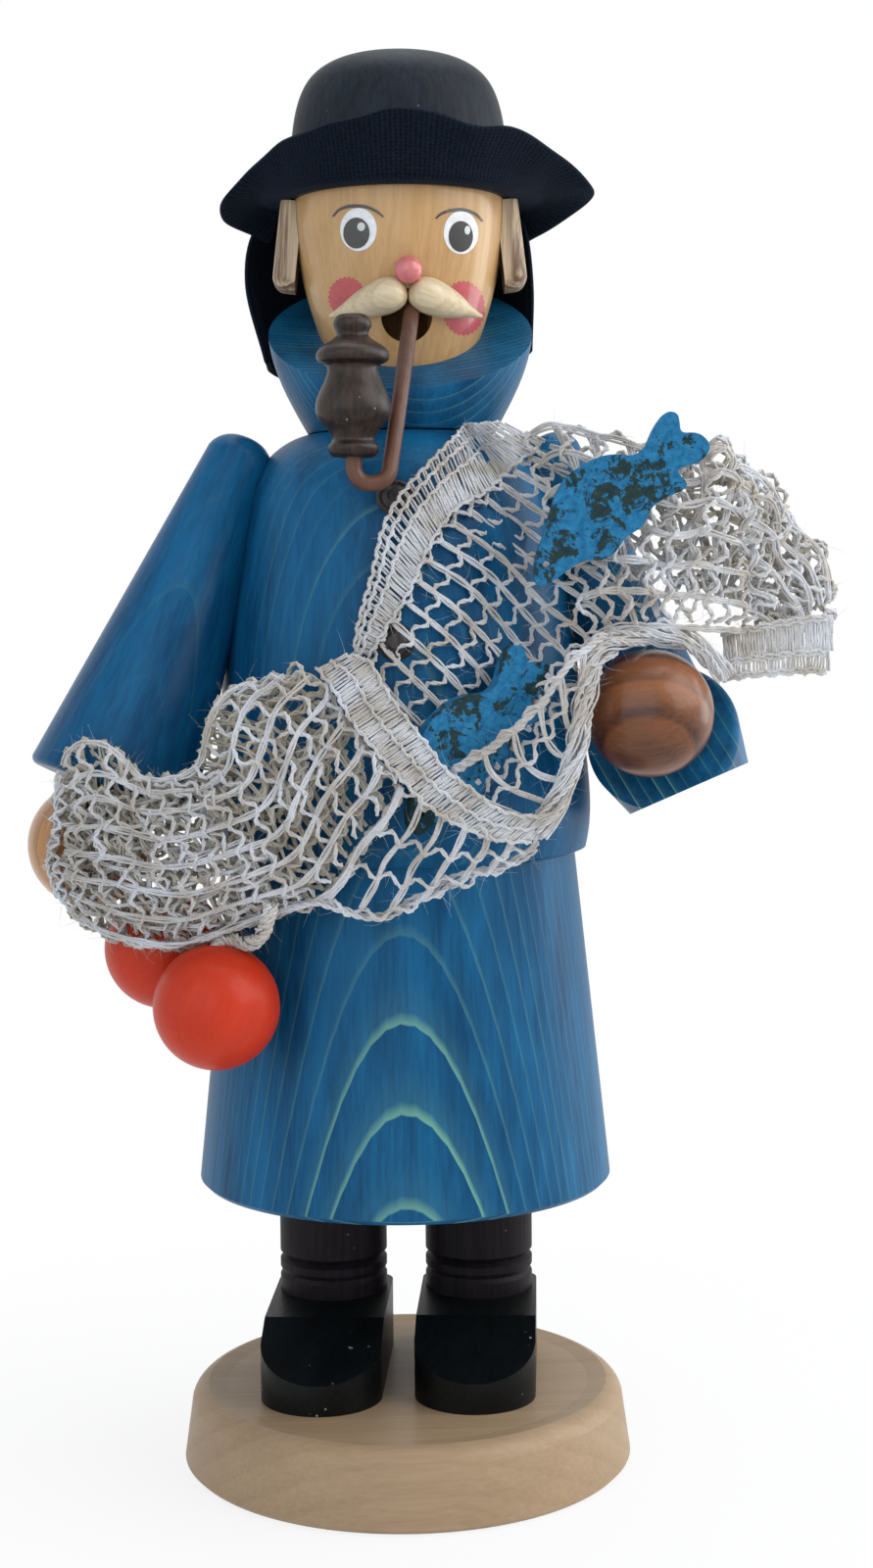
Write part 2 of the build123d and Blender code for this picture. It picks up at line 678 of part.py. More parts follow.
def make_flap():
    join = (crown_radius + soft_gap * 2, brim_join_up)
    sections = []
    for turn, rs, zs, rm, zm, rh, zh in flap_station_shares:
        shoulder = (rs * crown_radius, zs * flap_drop)
        mid = (rm * crown_radius, zm * flap_drop)
        hem = (rh * crown_radius, zh * flap_drop)
        sections.append(cloth_section(turn, [join, shoulder, mid, hem]))
    return Pos(head_axis_x, 0, crown_bottom_z) * loft(sections, ruled=True)


# Pipe
def make_pipe_bowl():
    points = [(0, 0)] + scaled(pipe_outline_shares, pipe_bowl_radius, pipe_height) + [(0, pipe_height)]
    bowl = solid_of_revolution(points, smooth=(1, len(points) - 2))
    hole = Cylinder(stem_radius + glue_gap, stem_bend_radius, align=(Align.CENTER, Align.CENTER, Align.MIN))
    return Pos(pipe_x, pipe_y, pipe_bottom_z) * (bowl - hole)


def bend_radii(route):
    """At each inner point, the largest arc that its two runs allow."""
    points = [Vector(*p) for p in route]
    radii = []
    for a, b, c in zip(points, points[1:], points[2:]):
        run = min((b - a).length, (c - b).length)
        turn = (b - a).get_angle(c - b)
        radii.append(0.45 * run / tan(radians(turn / 2)))
    return radii


def bent_rod(route, radius):
    path = FilletPolyline(*route, radius=bend_radii(route))
    start = Plane(origin=Vector(*route[0]), z_dir=Vector(*route[1]) - Vector(*route[0]))
    return sweep(start * Circle(radius), path=path)


def make_stem(radius=stem_radius):
    """A bent rod from the bowl's foot, round the low bend and up to the mouth."""
    drop = stem_bend_radius * 1.5
    return bent_rod([
        (pipe_x, pipe_y, pipe_bottom_z + stem_bend_radius * 0.7),
        (pipe_x, pipe_y, pipe_bottom_z - drop),
        (stem_low_bend_x, pipe_y + stem_low_bend_back, pipe_bottom_z - drop),
        stem_knee, stem_lip, stem_end,
    ], radius)


# Buttons
def make_button(z):
    radius = chest_radius_at(z - seam_z)
    button = solid_of_revolution([
        (0, 0), (button_radius, 0), (button_radius, button_height * 0.5),
        (button_radius * 0.82, button_height * 0.8), (button_radius * 0.74, button_height * 0.62),
        (button_radius * 0.4, button_height * 0.95), (0, button_height),
    ])
    tilt = chest_slope_deg(z - seam_z)
    return Pos(button_x, -radius, z) * Rot(90 - tilt, 0, 0) * Pos(0, 0, -button_height * 0.25) * button - chest_cut


def chest_radius_at(up):
    outline = chest_outline()
    for (r0, z0), (r1, z1) in zip(outline, outline[1:]):
        if up <= z1:
            return r0 + (r1 - r0) * (up - z0) / (z1 - z0)
    return outline[-1][0]


def chest_slope_deg(up):
    step = button_radius
    return degrees(atan2(chest_radius_at(up - step) - chest_radius_at(up + step), step * 2))


# Arms and hands
def arm_cone(start, end, radius_start, radius_end, seam_deg=0):
    """A turned arm with a rounded top and a slightly rounded cuff."""
    way = Vector(*end) - Vector(*start)
    length = way.length
    cap = radius_start * 0.55
    soft = cuff_round * (1 - cos(pi / 4))
    profile = Curve() + [
        Line((0, 0, -cap), (0, 0, length)),
        Line((0, 0, length), (radius_end - cuff_round, 0, length)),
        ThreePointArc((radius_end - cuff_round, 0, length), (radius_end - soft, 0, length - soft),
                      (radius_end, 0, length - cuff_round)),
        Line((radius_end, 0, length - cuff_round), (radius_start, 0, 0)),
        ThreePointArc((radius_start, 0, 0), (radius_start * 0.72, 0, -cap * 0.72), (0, 0, -cap)),
    ]
    cone = Rot(0, 0, seam_deg) * revolve(make_face(profile), Axis.Z, 360)
    return Plane(origin=Vector(*start), z_dir=way.normalized()) * cone


def beyond(place, way, size):
    """The half space past a plane, as a large block."""
    block = Box(size, size, size, align=(Align.CENTER, Align.CENTER, Align.MIN))
    return Plane(origin=Vector(*place), z_dir=way) * block


def cuff_centre(hand, arm_start):
    return Vector(*hand) + toward(hand, arm_start) * (hand_radius - hand_seat)


def left_arm_cone(grow=0.0):
    cuff = cuff_centre(left_hand_centre, left_shoulder)
    return arm_cone(left_shoulder, cuff, arm_top_radius + grow, cuff_radius + grow)


def make_left_arm():
    return left_arm_cone() - chest_cut


def right_upper_arm(grow=0.0):
    """The bent arm's upper cone, a little longer than it is after the elbow's cut."""
    end = Vector(*right_elbow) + toward(right_shoulder, right_elbow) * elbow_spare
    return arm_cone(right_shoulder, tuple(end), arm_top_radius + grow, elbow_radius + grow, seam_deg=180)


def past_elbow():
    """What the saw takes off both halves of the bent arm: a plane that leans up towards the front."""
    way = toward(right_shoulder, right_elbow).rotate(Axis.X, -elbow_cut_lean_deg)
    return beyond(right_elbow, way, chest_height)


def forearm_cone(grow=0.0):
    cuff = cuff_centre(right_hand_centre, forearm_root)
    root = cuff + toward(right_hand_centre, forearm_root) * forearm_length
    return arm_cone(tuple(root), tuple(cuff), elbow_radius + grow, right_cuff_radius + grow)


def make_forearm():
    """The short cone that carries the right hand, cut off flush with the upper arm."""
    cone = forearm_cone() - past_elbow() - right_upper_arm(glue_gap)
    return max(cone.solids(), key=lambda piece: piece.volume)


def make_hand(centre, arm_start):
    """A ball with a small flat where it is glued to the cuff, and a hole there for the peg."""
    flat = hand_radius - hand_seat - glue_gap
    flat_radius = sqrt(hand_radius ** 2 - flat ** 2)
    hole_radius, hole_end = peg_radius + glue_gap, flat - peg_length / 2
    profile = Curve() + [
        ThreePointArc((0, 0, -hand_radius), (hand_radius, 0, 0), (flat_radius, 0, flat)),
        Line((flat_radius, 0, flat), (hole_radius, 0, flat)),
        Line((hole_radius, 0, flat), (hole_radius, 0, hole_end)),
        Line((hole_radius, 0, hole_end), (0, 0, hole_end)),
        Line((0, 0, hole_end), (0, 0, -hand_radius)),
    ]
    return Plane(origin=Vector(*centre), z_dir=toward(centre, arm_start)) * revolve(make_face(profile), Axis.Z, 360)


def peg(middle, way, half_length, grow=0.0):
    reach = way * (half_length + grow)
    return cylinder_between(tuple(Vector(*middle) - reach), tuple(Vector(*middle) + reach), peg_radius + grow)


def shoulder_peg(shoulder, hand, grow=0.0):
    """A peg from inside the arm's top into the chest's wall."""
    inside = Vector(*shoulder) + toward(shoulder, hand) * shoulder_peg_down
    level = Vector(inside.X, inside.Y, 0)
    inward = level.normalized() * -1
    seat = Vector(inward.X, inward.Y, 0) * -chest_radius_at(inside.Z - seam_z) + Vector(0, 0, inside.Z)
    return peg(tuple(seat), inward, peg_length / 2, grow)


def hand_peg(hand, arm_start, grow=0.0):
    return peg(tuple(cuff_centre(hand, arm_start)), toward(hand, arm_start), peg_length / 2, grow)


# Fish
def fish_place(centre, rise_deg, turn_deg=0):
    return Pos(*centre) * Rot(0, 0, turn_deg) * Rot(90, 0, 0) * Rot(0, 0, rise_deg)


def make_fish(place):
    outline = [(x * fish_length, y * fish_length) for x, y in fish_outline_shares]
    fish = extrude(make_face(Spline(*outline, periodic=True)), fish_thickness / 2, both=True)
    eye_x, eye_y = fish_eye_share
    eye = Cylinder(fish_eye_radius, fish_thickness * 2)
    return place * (fish - Pos(eye_x * fish_length, eye_y * fish_length, 0) * eye)


def fish_bed(place):
    """The room a fish takes in the cloth it lies in: a plain plate around it."""
    width = fish_length + soft_gap * 2
    return place * Box(width, width * 0.43, fish_thickness + soft_gap * 2)


# Net pieces that lie on the chest, from outlines in the front view.
# x is a share of the chest's radius, z a share of its height from the seam.
front_hem_shares = [
    (0.46, 0.93), (0.22, 0.90), (0.035, 0.775), (-0.09, 0.625), (-0.21, 0.50), (-0.155, 0.49),
    (-0.03, 0.56), (0.20, 0.72), (0.40, 0.85), (0.52, 0.90),
]
chest_net_shares = [
    (0.53, 0.885), (0.415, 0.835), (0.215, 0.705), (-0.02, 0.545), (-0.14, 0.475), (0.03, 0.36),
    (0.28, 0.20), (0.60, 0.12), (0.72, 0.30), (0.74, 0.60), (0.66, 0.80),
]


def chest_patch(shares, lift, thickness):
    """A piece of cloth on the front of the chest, cut to an outline."""
    shell = chest_envelope(lift + thickness) - chest_envelope(lift)
    outline = [Vector(x * chest_radius, 0, seam_z + z * chest_height) for x, z in shares]
    prism = extrude(make_face(Polyline(*outline, close=True)), chest_radius * 2, dir=(0, -1, 0))
    return shell & prism


def inside_outline(shares, x, z):
    crossings = 0
    for (x0, z0), (x1, z1) in zip(shares, shares[1:] + shares[:1]):
        if (z0 > z) != (z1 > z) and x < x0 + (x1 - x0) * (z - z0) / (z1 - z0):
            crossings += 1
    return crossings % 2 == 1


def make_chest_net():
    """The open mesh on the chest, with a square gap in each cell that lies inside the outline."""
    net = chest_patch(chest_net_shares, soft_gap, net_thickness)
    gap = Box(net_cell - net_web, chest_radius * 2, net_cell - net_web, align=(Align.CENTER, Align.MAX, Align.CENTER))
    middle_x, middle_z = 0.3 * chest_radius, seam_z + 0.5 * chest_height
    reach = int(chest_height / net_cell)
    corner = (net_cell - net_web) / 2 + net_web * 0.6
    gaps = []
    for row in range(-reach, reach + 1):
        for column in range(-reach, reach + 1):
            cells = [(column * net_cell + dx, row * net_cell + dz) for dx, dz in
                     ((-corner, -corner), (corner, -corner), (corner, corner), (-corner, corner), (0, 0))]
            places = []
            for u, v in cells:
                x = middle_x + u * cos(radians(net_slope_deg)) - v * sin(radians(net_slope_deg))
                z = middle_z + u * sin(radians(net_slope_deg)) + v * cos(radians(net_slope_deg))
                places.append((x, z))
            if all(inside_outline(chest_net_shares, x / chest_radius, (z - seam_z) / chest_height) for x, z in places):
                x, z = places[-1]
                gaps.append(Pos(x, 0, z) * Rot(0, -net_slope_deg, 0) * gap)
    return net - gaps


# The bundle that hangs from the right hand to the left one.
# Share along it, then the bottom and the top as shares of its height, and how much thinner it is.
swag_station_shares = [
    (0.0, 0.34, 0.55, 0.5), (0.06, 0.08, 0.62, 0.2), (0.12, 0.03, 0.70, 0.1), (0.22, 0.0, 0.56, 0.0),
    (0.325, 0.0, 0.72, 0.0), (0.36, 0.0, 0.82, 0.0), (0.48, 0.08, 0.89, 0.0), (0.62, 0.08, 0.98, 0.0),
    (0.70, 0.09, 0.72, 0.0), (0.785, 0.12, 0.565, 0.0), (0.88, 0.20, 0.53, 0.1), (1.0, 0.32, 0.50, 0.3),
]


swag_step_share = max(b[0] - a[0] for a, b in zip(swag_station_shares, swag_station_shares[1:]))


def swag_back_y(x):
    """The chest's front line, clear of the flat steps too, but no nearer than what clears the left hand."""
    reach = chest_radius + swag_stand_off
    half_step = (swag_right_x - swag_left_x) * swag_step_share / 2
    return -max(sqrt(max(reach * reach + half_step * half_step - x * x, 0)), swag_back_clear)


def folded_section(x, back, front, low, high):
    """A slice through hanging cloth: flat behind, with two round folds in front."""
    mid = (low + high) / 2
    bulge = min((high - low) * 0.16, (back - front) * 0.45)
    lip = front + bulge
    corners = [Vector(x, lip, low), Vector(x, lip, mid), Vector(x, lip, high)]
    return make_face(Curve() + [
        Line((x, back, high), (x, back, low)),
        Line((x, back, low), corners[0]),
        ThreePointArc(corners[0], Vector(x, front, (low + mid) / 2), corners[1]),
        ThreePointArc(corners[1], Vector(x, front, (mid + high) / 2), corners[2]),
        Line(corners[2], (x, back, high)),
    ])


def make_swag():
    height = swag_top_z - swag_bottom_z
    sections = []
    for share, low, high, thinner in swag_station_shares:
        x = swag_left_x + (swag_right_x - swag_left_x) * share
        back = swag_back_y(x)
        front = back - swag_depth * (1 - thinner)
        sections.append(folded_section(x, back, front, swag_bottom_z + low * height, swag_bottom_z + high * height))
    return loft(sections, ruled=True)


# The woven hem that crosses the bundle: its upper and lower edges as shares of the bundle.
fold_hem_shares = [
    ((0.635, 1.0), (0.50, 0.95)), ((0.72, 0.79), (0.60, 0.70)), ((0.82, 0.57), (0.695, 0.52)),
    ((0.93, 0.46), (0.81, 0.37)), ((1.0, 0.46), (0.97, 0.35)),
]


def make_fold_hem():
    length, height = swag_right_x - swag_left_x, swag_top_z - swag_bottom_z
    sections = []
    for edges in fold_hem_shares:
        near, far = [], []
        for share, up in edges:
            x, z = swag_left_x + share * length, swag_bottom_z + up * height
            y = swag_back_y(x) - swag_depth - soft_gap * 2
            near.append(Vector(x, y, z))
            far.append(Vector(x, y - hem_thickness, z))
        sections.append(make_face(Polyline(near[0], near[1], far[1], far[0], close=True)))
    return loft(sections, ruled=True)


# The heap of net over the bent arm: share along it, then bottom, top, back and front shares.
heap_station_shares = [
    (0.0, 0.0, 0.726, 0.35, 1.0), (0.16, -0.04, 0.932, 0.0, 1.0), (0.40, -0.335, 0.918, 0.0, 0.86),
    (0.52, 0.0, 0.904, 0.0, 0.70), (0.72, 0.0, 0.781, 0.15, 0.62), (0.85, 0.0, 0.589, 0.25, 0.60),
    (1.0, 0.0, 0.206, 0.35, 0.56),
]


def make_heap():
    height = heap_top_z - heap_bottom_z
    depth = heap_front_y - heap_back_y
    sections = []
    for share, low, high, back, front in heap_station_shares:
        x = heap_left_x + (heap_right_x - heap_left_x) * share
        sections.append(folded_section(
            x, heap_back_y + depth * back, heap_back_y + depth * front,
            heap_bottom_z + low * height, heap_bottom_z + high * height))
    roll_back = hand_roll_route[0][1] + hand_roll_radius + soft_gap
    roll_top = hand_roll_route[2][2] + hand_roll_radius + soft_gap
    size = heap_right_x - heap_left_x
    roll_room = Pos(heap_left_x, roll_back, roll_top) * Box(
        size * 2, size, size, align=(Align.CENTER, Align.MAX, Align.MAX))
    hand_room = Pos(*right_hand_centre) * Sphere(hand_radius + soft_gap)
    heap = loft(sections, ruled=True) - roll_room - hand_room - forearm_cone(soft_gap)
    return heap - right_upper_arm(soft_gap) - chest_envelope(net_thickness + soft_gap * 2)


def make_right_hem():
    """The woven hem at the net's free end, hanging below the heap."""
    low = right_hem_low_z
    inner_x = heap_right_x - right_hem_length
    outline = make_face(Polyline(
        (inner_x, 0, low), (heap_right_x, 0, low), (heap_right_x, 0, low + right_hem_width),
        (inner_x, 0, low + right_hem_width * 0.6), close=True))
    return Pos(0, right_hem_y, 0) * extrude(outline, hem_thickness, dir=(0, -1, 0))


# Floats
def make_float(centre):
    bore = Cylinder(float_bore_radius, float_radius * 3)
    return ball(centre, float_radius) - Pos(*centre) * bore


def make_tie(centre, top_z):
    low = centre[2] + sqrt(float_radius ** 2 - float_bore_radius ** 2) - tie_in_bore
    return Pos(centre[0], centre[1], low) * Cylinder(
        tie_radius, top_z - low, align=(Align.CENTER, Align.CENTER, Align.MIN))


os.makedirs("parts", exist_ok=True)
chest_cut = chest_envelope(glue_gap)
parts = {}

base = make_base()
for hole in peg_sockets(dish_floor_z - peg_length, peg_length + overrun):
    base = base - hole
parts["base_disc"] = base
for side, name in ((-1, "left"), (1, "right")):
    parts["shoe_" + name] = make_shoe(side)
    parts["leg_" + name] = make_leg(side)
parts["leg_pegs"] = Compound(children=make_leg_pegs())
parts["lower_body"] = make_lower_body()
parts["burner_dish"] = make_burner_dish()
parts["burner_tack"] = make_tack()

chest = make_chest()
for shoulder, hand in ((left_shoulder, left_hand_centre), (right_shoulder, right_elbow)):
    chest = chest - shoulder_peg(shoulder, hand, glue_gap)
parts["upper_body"] = chest
parts["collar"] = make_collar()
parts["head"] = make_head()
parts["nose"] = make_nose()
stem_clear = make_stem(stem_radius + glue_gap)
for side, name in ((-1, "left"), (1, "right")):
    parts["moustache_" + name] = make_moustache(side) - stem_clear
    parts["hair_" + name] = make_hair(side)
parts["hat_crown"] = make_crown()
parts["hat_peg"] = make_hat_peg()
parts["hat_brim"] = make_brim()
parts["neck_flap"] = make_flap()
parts["pipe_bowl"] = make_pipe_bowl()
parts["pipe_stem"] = make_stem()
button_heights = [seam_z + share * chest_height for share in button_up_shares]
for height, name in zip(button_heights, ("upper", "lower")):
    parts["button_" + name] = make_button(height)

arm_holes = {
    "left": [shoulder_peg(left_shoulder, left_hand_centre, glue_gap), hand_peg(left_hand_centre, left_shoulder, glue_gap)],
    "right": [shoulder_peg(right_shoulder, right_elbow, glue_gap), hand_peg(right_hand_centre, forearm_root, glue_gap)],
}
parts["arm_straight"] = make_left_arm() - arm_holes["left"]
parts["hand_left"] = make_hand(left_hand_centre, left_shoulder)
parts["arm_bent_upper"] = right_upper_arm() - past_elbow() - chest_cut - arm_holes["right"][0]
parts["arm_bent_fore"] = make_forearm() - arm_holes["right"][1]
parts["hand_right"] = make_hand(right_hand_centre, forearm_root)
parts["arm_pegs"] = Compound(children=[
    shoulder_peg(left_shoulder, left_hand_centre), shoulder_peg(right_shoulder, right_elbow),
    hand_peg(left_hand_centre, left_shoulder), hand_peg(right_hand_centre, forearm_root),
])
upper_fish_place = fish_place(upper_fish_centre, upper_fish_rise_deg)
lower_fish_place = fish_place(lower_fish_centre, lower_fish_rise_deg, lower_fish_turn_deg)
parts["fish_upper"] = make_fish(upper_fish_place)
parts["fish_lower"] = make_fish(lower_fish_place)
button_room = Pos(button_x, 0, button_heights[1]) * Rot(90, 0, 0) * Cylinder(
    button_radius + soft_gap, chest_radius * 2, align=(Align.CENTER, Align.CENTER, Align.MIN))
parts["net_front_hem"] = chest_patch(front_hem_shares, soft_gap, hem_thickness) - button_room
parts["net_chest"] = make_chest_net() - button_room
parts["net_swag"] = make_swag() - fish_bed(lower_fish_place)
parts["net_fold_hem"] = make_fold_hem()
parts["net_heap"] = make_heap()
parts["net_right_hem"] = make_right_hem()
parts["net_hand_roll"] = bent_rod(hand_roll_route, hand_roll_radius)
parts["net_sling"] = bent_rod(sling_route, sling_radius) - left_arm_cone(soft_gap)
parts["float_front"] = make_float(front_float_centre)
parts["float_back"] = make_float(back_float_centre)
parts["float_tie_front"] = make_tie(front_float_centre, front_tie_top_z)
parts["float_tie_back"] = make_tie(back_float_centre, back_tie_top_z)

for name, shape in parts.items():
    export_step(shape, "parts/" + name + ".step")
    print(name, len(shape.solids()), round(shape.volume, 1), "valid" if shape.is_valid else "INVALID")
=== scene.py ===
import math

import bpy
import numpy as np
from mathutils import Matrix, Vector
from mathutils.bvhtree import BVHTree


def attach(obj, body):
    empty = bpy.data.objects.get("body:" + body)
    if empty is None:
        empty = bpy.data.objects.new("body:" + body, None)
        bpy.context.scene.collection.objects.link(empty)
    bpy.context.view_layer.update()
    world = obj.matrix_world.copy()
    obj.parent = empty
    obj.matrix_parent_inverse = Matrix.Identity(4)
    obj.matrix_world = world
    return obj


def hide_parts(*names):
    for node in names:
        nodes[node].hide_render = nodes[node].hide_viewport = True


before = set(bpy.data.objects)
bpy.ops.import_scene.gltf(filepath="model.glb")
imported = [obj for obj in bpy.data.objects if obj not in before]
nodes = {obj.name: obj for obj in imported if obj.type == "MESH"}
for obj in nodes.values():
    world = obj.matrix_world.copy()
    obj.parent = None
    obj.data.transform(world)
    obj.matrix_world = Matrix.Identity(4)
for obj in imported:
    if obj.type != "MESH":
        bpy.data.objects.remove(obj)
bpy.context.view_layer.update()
MM = 0.001
TURN = 2 * math.pi


# Camera, at the photograph's viewing angle
PHOTO_W, PHOTO_H = 891, 1600
FOCAL_PX = 2400.0
SENSOR_MM = 36.0
EYE = Vector((0.0, -0.40217, 0.1489))
PITCH, YAW, ROLL = 0.0795, 0.0148, -0.0086


def camera_axes():
    """The camera's right, up and forward directions in the world."""
    cy, sy = math.cos(YAW), math.sin(YAW)
    cp, sp = math.cos(PITCH), math.sin(PITCH)
    cr, sr = math.cos(ROLL), math.sin(ROLL)
    right = Vector((cy, -sy, 0))
    forward = Vector((sy * cp, cy * cp, -sp))
    up = right.cross(forward)
    return right * cr + up * sr, up * cr - right * sr, forward


RIGHT, UP, FORWARD = camera_axes()
camera = bpy.data.objects.new("camera", bpy.data.cameras.new("camera"))
bpy.context.scene.collection.objects.link(camera)
camera.data.sensor_width = SENSOR_MM
camera.data.lens = SENSOR_MM * FOCAL_PX / PHOTO_H
camera.data.clip_start = 0.01
camera.matrix_world = Matrix.Translation(EYE) @ Matrix((RIGHT, UP, -FORWARD)).transposed().to_4x4()
bpy.context.scene.camera = camera


def pixel_ray(px, py):
    """The direction from the camera through a pixel of the photograph's frame."""
    u, v = px - PHOTO_W / 2, py - PHOTO_H / 2
    return (FORWARD + RIGHT * (u / FOCAL_PX) - UP * (v / FOCAL_PX)).normalized()


# Materials
def srgb(r, g, b):
    """A colour in steps of 255, as the linear values that the nodes take."""
    def linear(c):
        c = c / 255
        return c / 12.92 if c <= 0.04045 else ((c + 0.055) / 1.055) ** 2.4
    return (linear(r), linear(g), linear(b), 1.0)


def darker(colour, share):
    return tuple(c * share for c in colour[:3]) + (1.0,)


class Nodes:
    """A node tree whose nodes are written as short calls."""

    def __init__(self, tree):
        self.tree = tree
        tree.nodes.clear()

    def put(self, socket, value):
        if isinstance(value, bpy.types.NodeSocket):
            self.tree.links.new(value, socket)
        else:
            socket.default_value = value

    def node(self, kind, inputs=(), out=0, **props):
        """A new node with its inputs by place or by name; gives the output asked for, if it has any."""
        node = self.tree.nodes.new(kind)
        for key, value in props.items():
            setattr(node, key, value)
        for key, value in inputs.items() if isinstance(inputs, dict) else enumerate(inputs):
            self.put(node.inputs[key], value)
        return node.outputs[out] if node.outputs else None

    def m(self, op, *args, clamp=False):
        return self.node("ShaderNodeMath", args, operation=op, use_clamp=clamp)

    def add(self, a, b, clamp=False):
        return self.m("ADD", a, b, clamp=clamp)

    def mul(self, a, b, clamp=False):
        return self.m("MULTIPLY", a, b, clamp=clamp)

    def blend(self, a, a_share, b, b_share):
        return self.add(self.mul(a, a_share), self.mul(b, b_share))

    def shown_rays(self):
        """1 for the rays that show the background: from the camera, off gloss and through glass."""
        paths = self.tree.nodes.new("ShaderNodeLightPath")
        total = paths.outputs["Is Camera Ray"]
        for kind in ("Is Glossy Ray", "Is Transmission Ray"):
            total = self.add(total, paths.outputs[kind], clamp=True)
        return total


class Shader(Nodes):
    """A surface material on the Principled shader."""

    WOBBLE_SCALE = 14.0

    def __init__(self, name, **sockets):
        self.mat = bpy.data.materials.new(name)
        self.mat.use_nodes = True
        super().__init__(self.mat.node_tree)
        self.bsdf = self.tree.nodes.new("ShaderNodeBsdfPrincipled")
        self.out = self.tree.nodes.new("ShaderNodeOutputMaterial")
        self.coord = self.node("ShaderNodeTexCoord", out="Object")
        self.surface(self.bsdf.outputs[0])
        self.set(**sockets)

    def surface(self, shader):
        self.put(self.out.inputs[0], shader)

    def set(self, **sockets):
        """Inputs of the Principled shader by name, with _ for a space."""
        for name, value in sockets.items():
            self.put(self.bsdf.inputs[name.replace("_", " ")], value)

    def lacquer(self, coat, rough, spec):
        """A clear coat, and how strongly the ground under it reflects."""
        self.set(Coat_Weight=coat, Coat_Roughness=rough, Specular_IOR_Level=spec)

    def sheen(self, weight, rough, spec):
        """The soft sheen of fibres, and how strongly the ground under it reflects."""
        self.set(Sheen_Weight=weight, Sheen_Roughness=rough, Specular_IOR_Level=spec)

    def v(self, op, *args):
        out = "Value" if op == "LENGTH" else "Vector"
        return self.node("ShaderNodeVectorMath", args, out=out, operation=op)

    def stretch(self, scale, vec=None):
        return self.v("MULTIPLY", vec or self.coord, scale)

    def noise(self, vec=None, scale=100.0, detail=2.0, rough=0.5, warp=0.0, out=0):
        return self.node("ShaderNodeTexNoise", {
            "Vector": vec or self.coord, "Scale": scale, "Detail": detail,
            "Roughness": rough, "Distortion": warp}, out=out)

    def cells(self, scale):
        return self.node("ShaderNodeTexVoronoi", {"Vector": self.coord, "Scale": scale}, out="Distance")

    def ramp(self, fac, stops):
        node = self.tree.nodes.new("ShaderNodeValToRGB")
        self.put(node.inputs[0], fac)
        elements = node.color_ramp.elements
        while len(elements) < len(stops):
            elements.new(0.5)
        for element, (place, grey) in zip(elements, stops):
            element.position = place
            element.color = (grey, grey, grey, 1)
        return node.outputs[0]

    def span(self, value, low, high, to_low=0.0, to_high=1.0):
        return self.node("ShaderNodeMapRange", {
            "Value": value, "From Min": low, "From Max": high, "To Min": to_low, "To Max": to_high})

    def mix(self, fac, a, b):
        node = self.tree.nodes.new("ShaderNodeMix")
        node.data_type = "RGBA"
        for place, value in ((0, fac), (6, a), (7, b)):
            self.put(node.inputs[place], value)
        return node.outputs[2]

    def bump(self, height, strength, distance=0.0002):
        self.set(Normal=self.node("ShaderNodeBump", {
            "Strength": strength, "Distance": distance, "Height": height}))

    def rings(self, pith, lean, spacing, wobble):
        """Growth rings as (distance from the pith) / spacing, with the tree's unevenness."""
        soft = self.noise(self.stretch((1, 1, 0.35)), scale=self.WOBBLE_SCALE)
        drift = self.noise(self.stretch((1, 1, 0.3)), scale=self.WOBBLE_SCALE, detail=1.5, out="Color")
        push = self.node("ShaderNodeVectorMath", {
            0: self.v("SUBTRACT", drift, (0.5, 0.5, 0.5)), "Scale": wobble * 2}, operation="SCALE")
        place = self.v("ADD", self.v("SUBTRACT", self.coord, pith), push)
        away = self.v("LENGTH", self.v("CROSS_PRODUCT", place, tuple(Vector(lean).normalized())))
        return self.add(self.m("DIVIDE", away, spacing), self.mul(soft, 0.5))

    def along(self, lean, squeeze=0.03):
        """Coordinates that are long along the grain, for pores and streaks."""
        turn = Vector(lean).normalized().rotation_difference(Vector((0, 0, 1))).to_euler()
        turned = self.node("ShaderNodeMapping", {0: self.coord, "Rotation": tuple(turn)})
        return self.stretch((1, 1, squeeze), turned)


BLUE_DEEP, BLUE_MID, BLUE_LINE = srgb(5, 64, 102), srgb(17, 97, 142), srgb(112, 168, 150)
DUST = (0.55, 0.58, 0.62, 1.0)


def blue(name, pith, lean, spacing, line_share=0.55, rough=0.42, wobble=0.0015, strong=None):
    """Blue stained softwood: thin pale late-wood lines on a darker ground, with fine pores along the grain.

    strong is a span of rings, within which the lines come up to their full strength.
    """
    streak, line_width = 0.35, 0.06
    s = Shader(name, Roughness=rough)
    ring = s.rings(pith, lean, spacing, wobble)
    line = s.ramp(s.m("FRACT", ring), [
        (0.0, 0.0), (0.45, 0.02), (1 - line_width * 2.6, 0.12), (1 - line_width, 0.8),
        (1 - line_width * 0.5, 1.0), (0.985, 0.8), (1.0, 0.0)])
    per_ring = s.noise(s.node("ShaderNodeCombineXYZ", (s.m("FLOOR", ring),)), scale=3.7, detail=0.0)
    patch = s.noise(s.stretch((1, 1, 0.25)), scale=45.0)
    strength = s.mul(s.span(per_ring, 0.35, 0.65, 0.25, 1.0), s.span(patch, 0.38, 0.62, 0.25, 1.0))
    if strong:
        strength = s.mul(s.add(s.mul(strength, 0.5), 0.5), s.span(ring, *strong, 0.28, 1.0))
    line = s.mul(s.mul(line, strength), line_share * 2, clamp=True)
    fine = s.noise(s.along(lean), scale=1500.0, detail=3.0, rough=0.65)
    broad = s.noise(s.along(lean, 0.12), scale=140.0, detail=3.0)
    tone = s.blend(fine, streak, broad, 1 - streak)
    s.set(Base_Color=s.mix(line, s.mix(s.span(tone, 0.38, 0.62), BLUE_DEEP, BLUE_MID), BLUE_LINE))
    s.set(Specular_IOR_Level=0.14)
    s.bump(s.add(fine, s.mul(line, 0.5)), 0.1)
    return s.mat


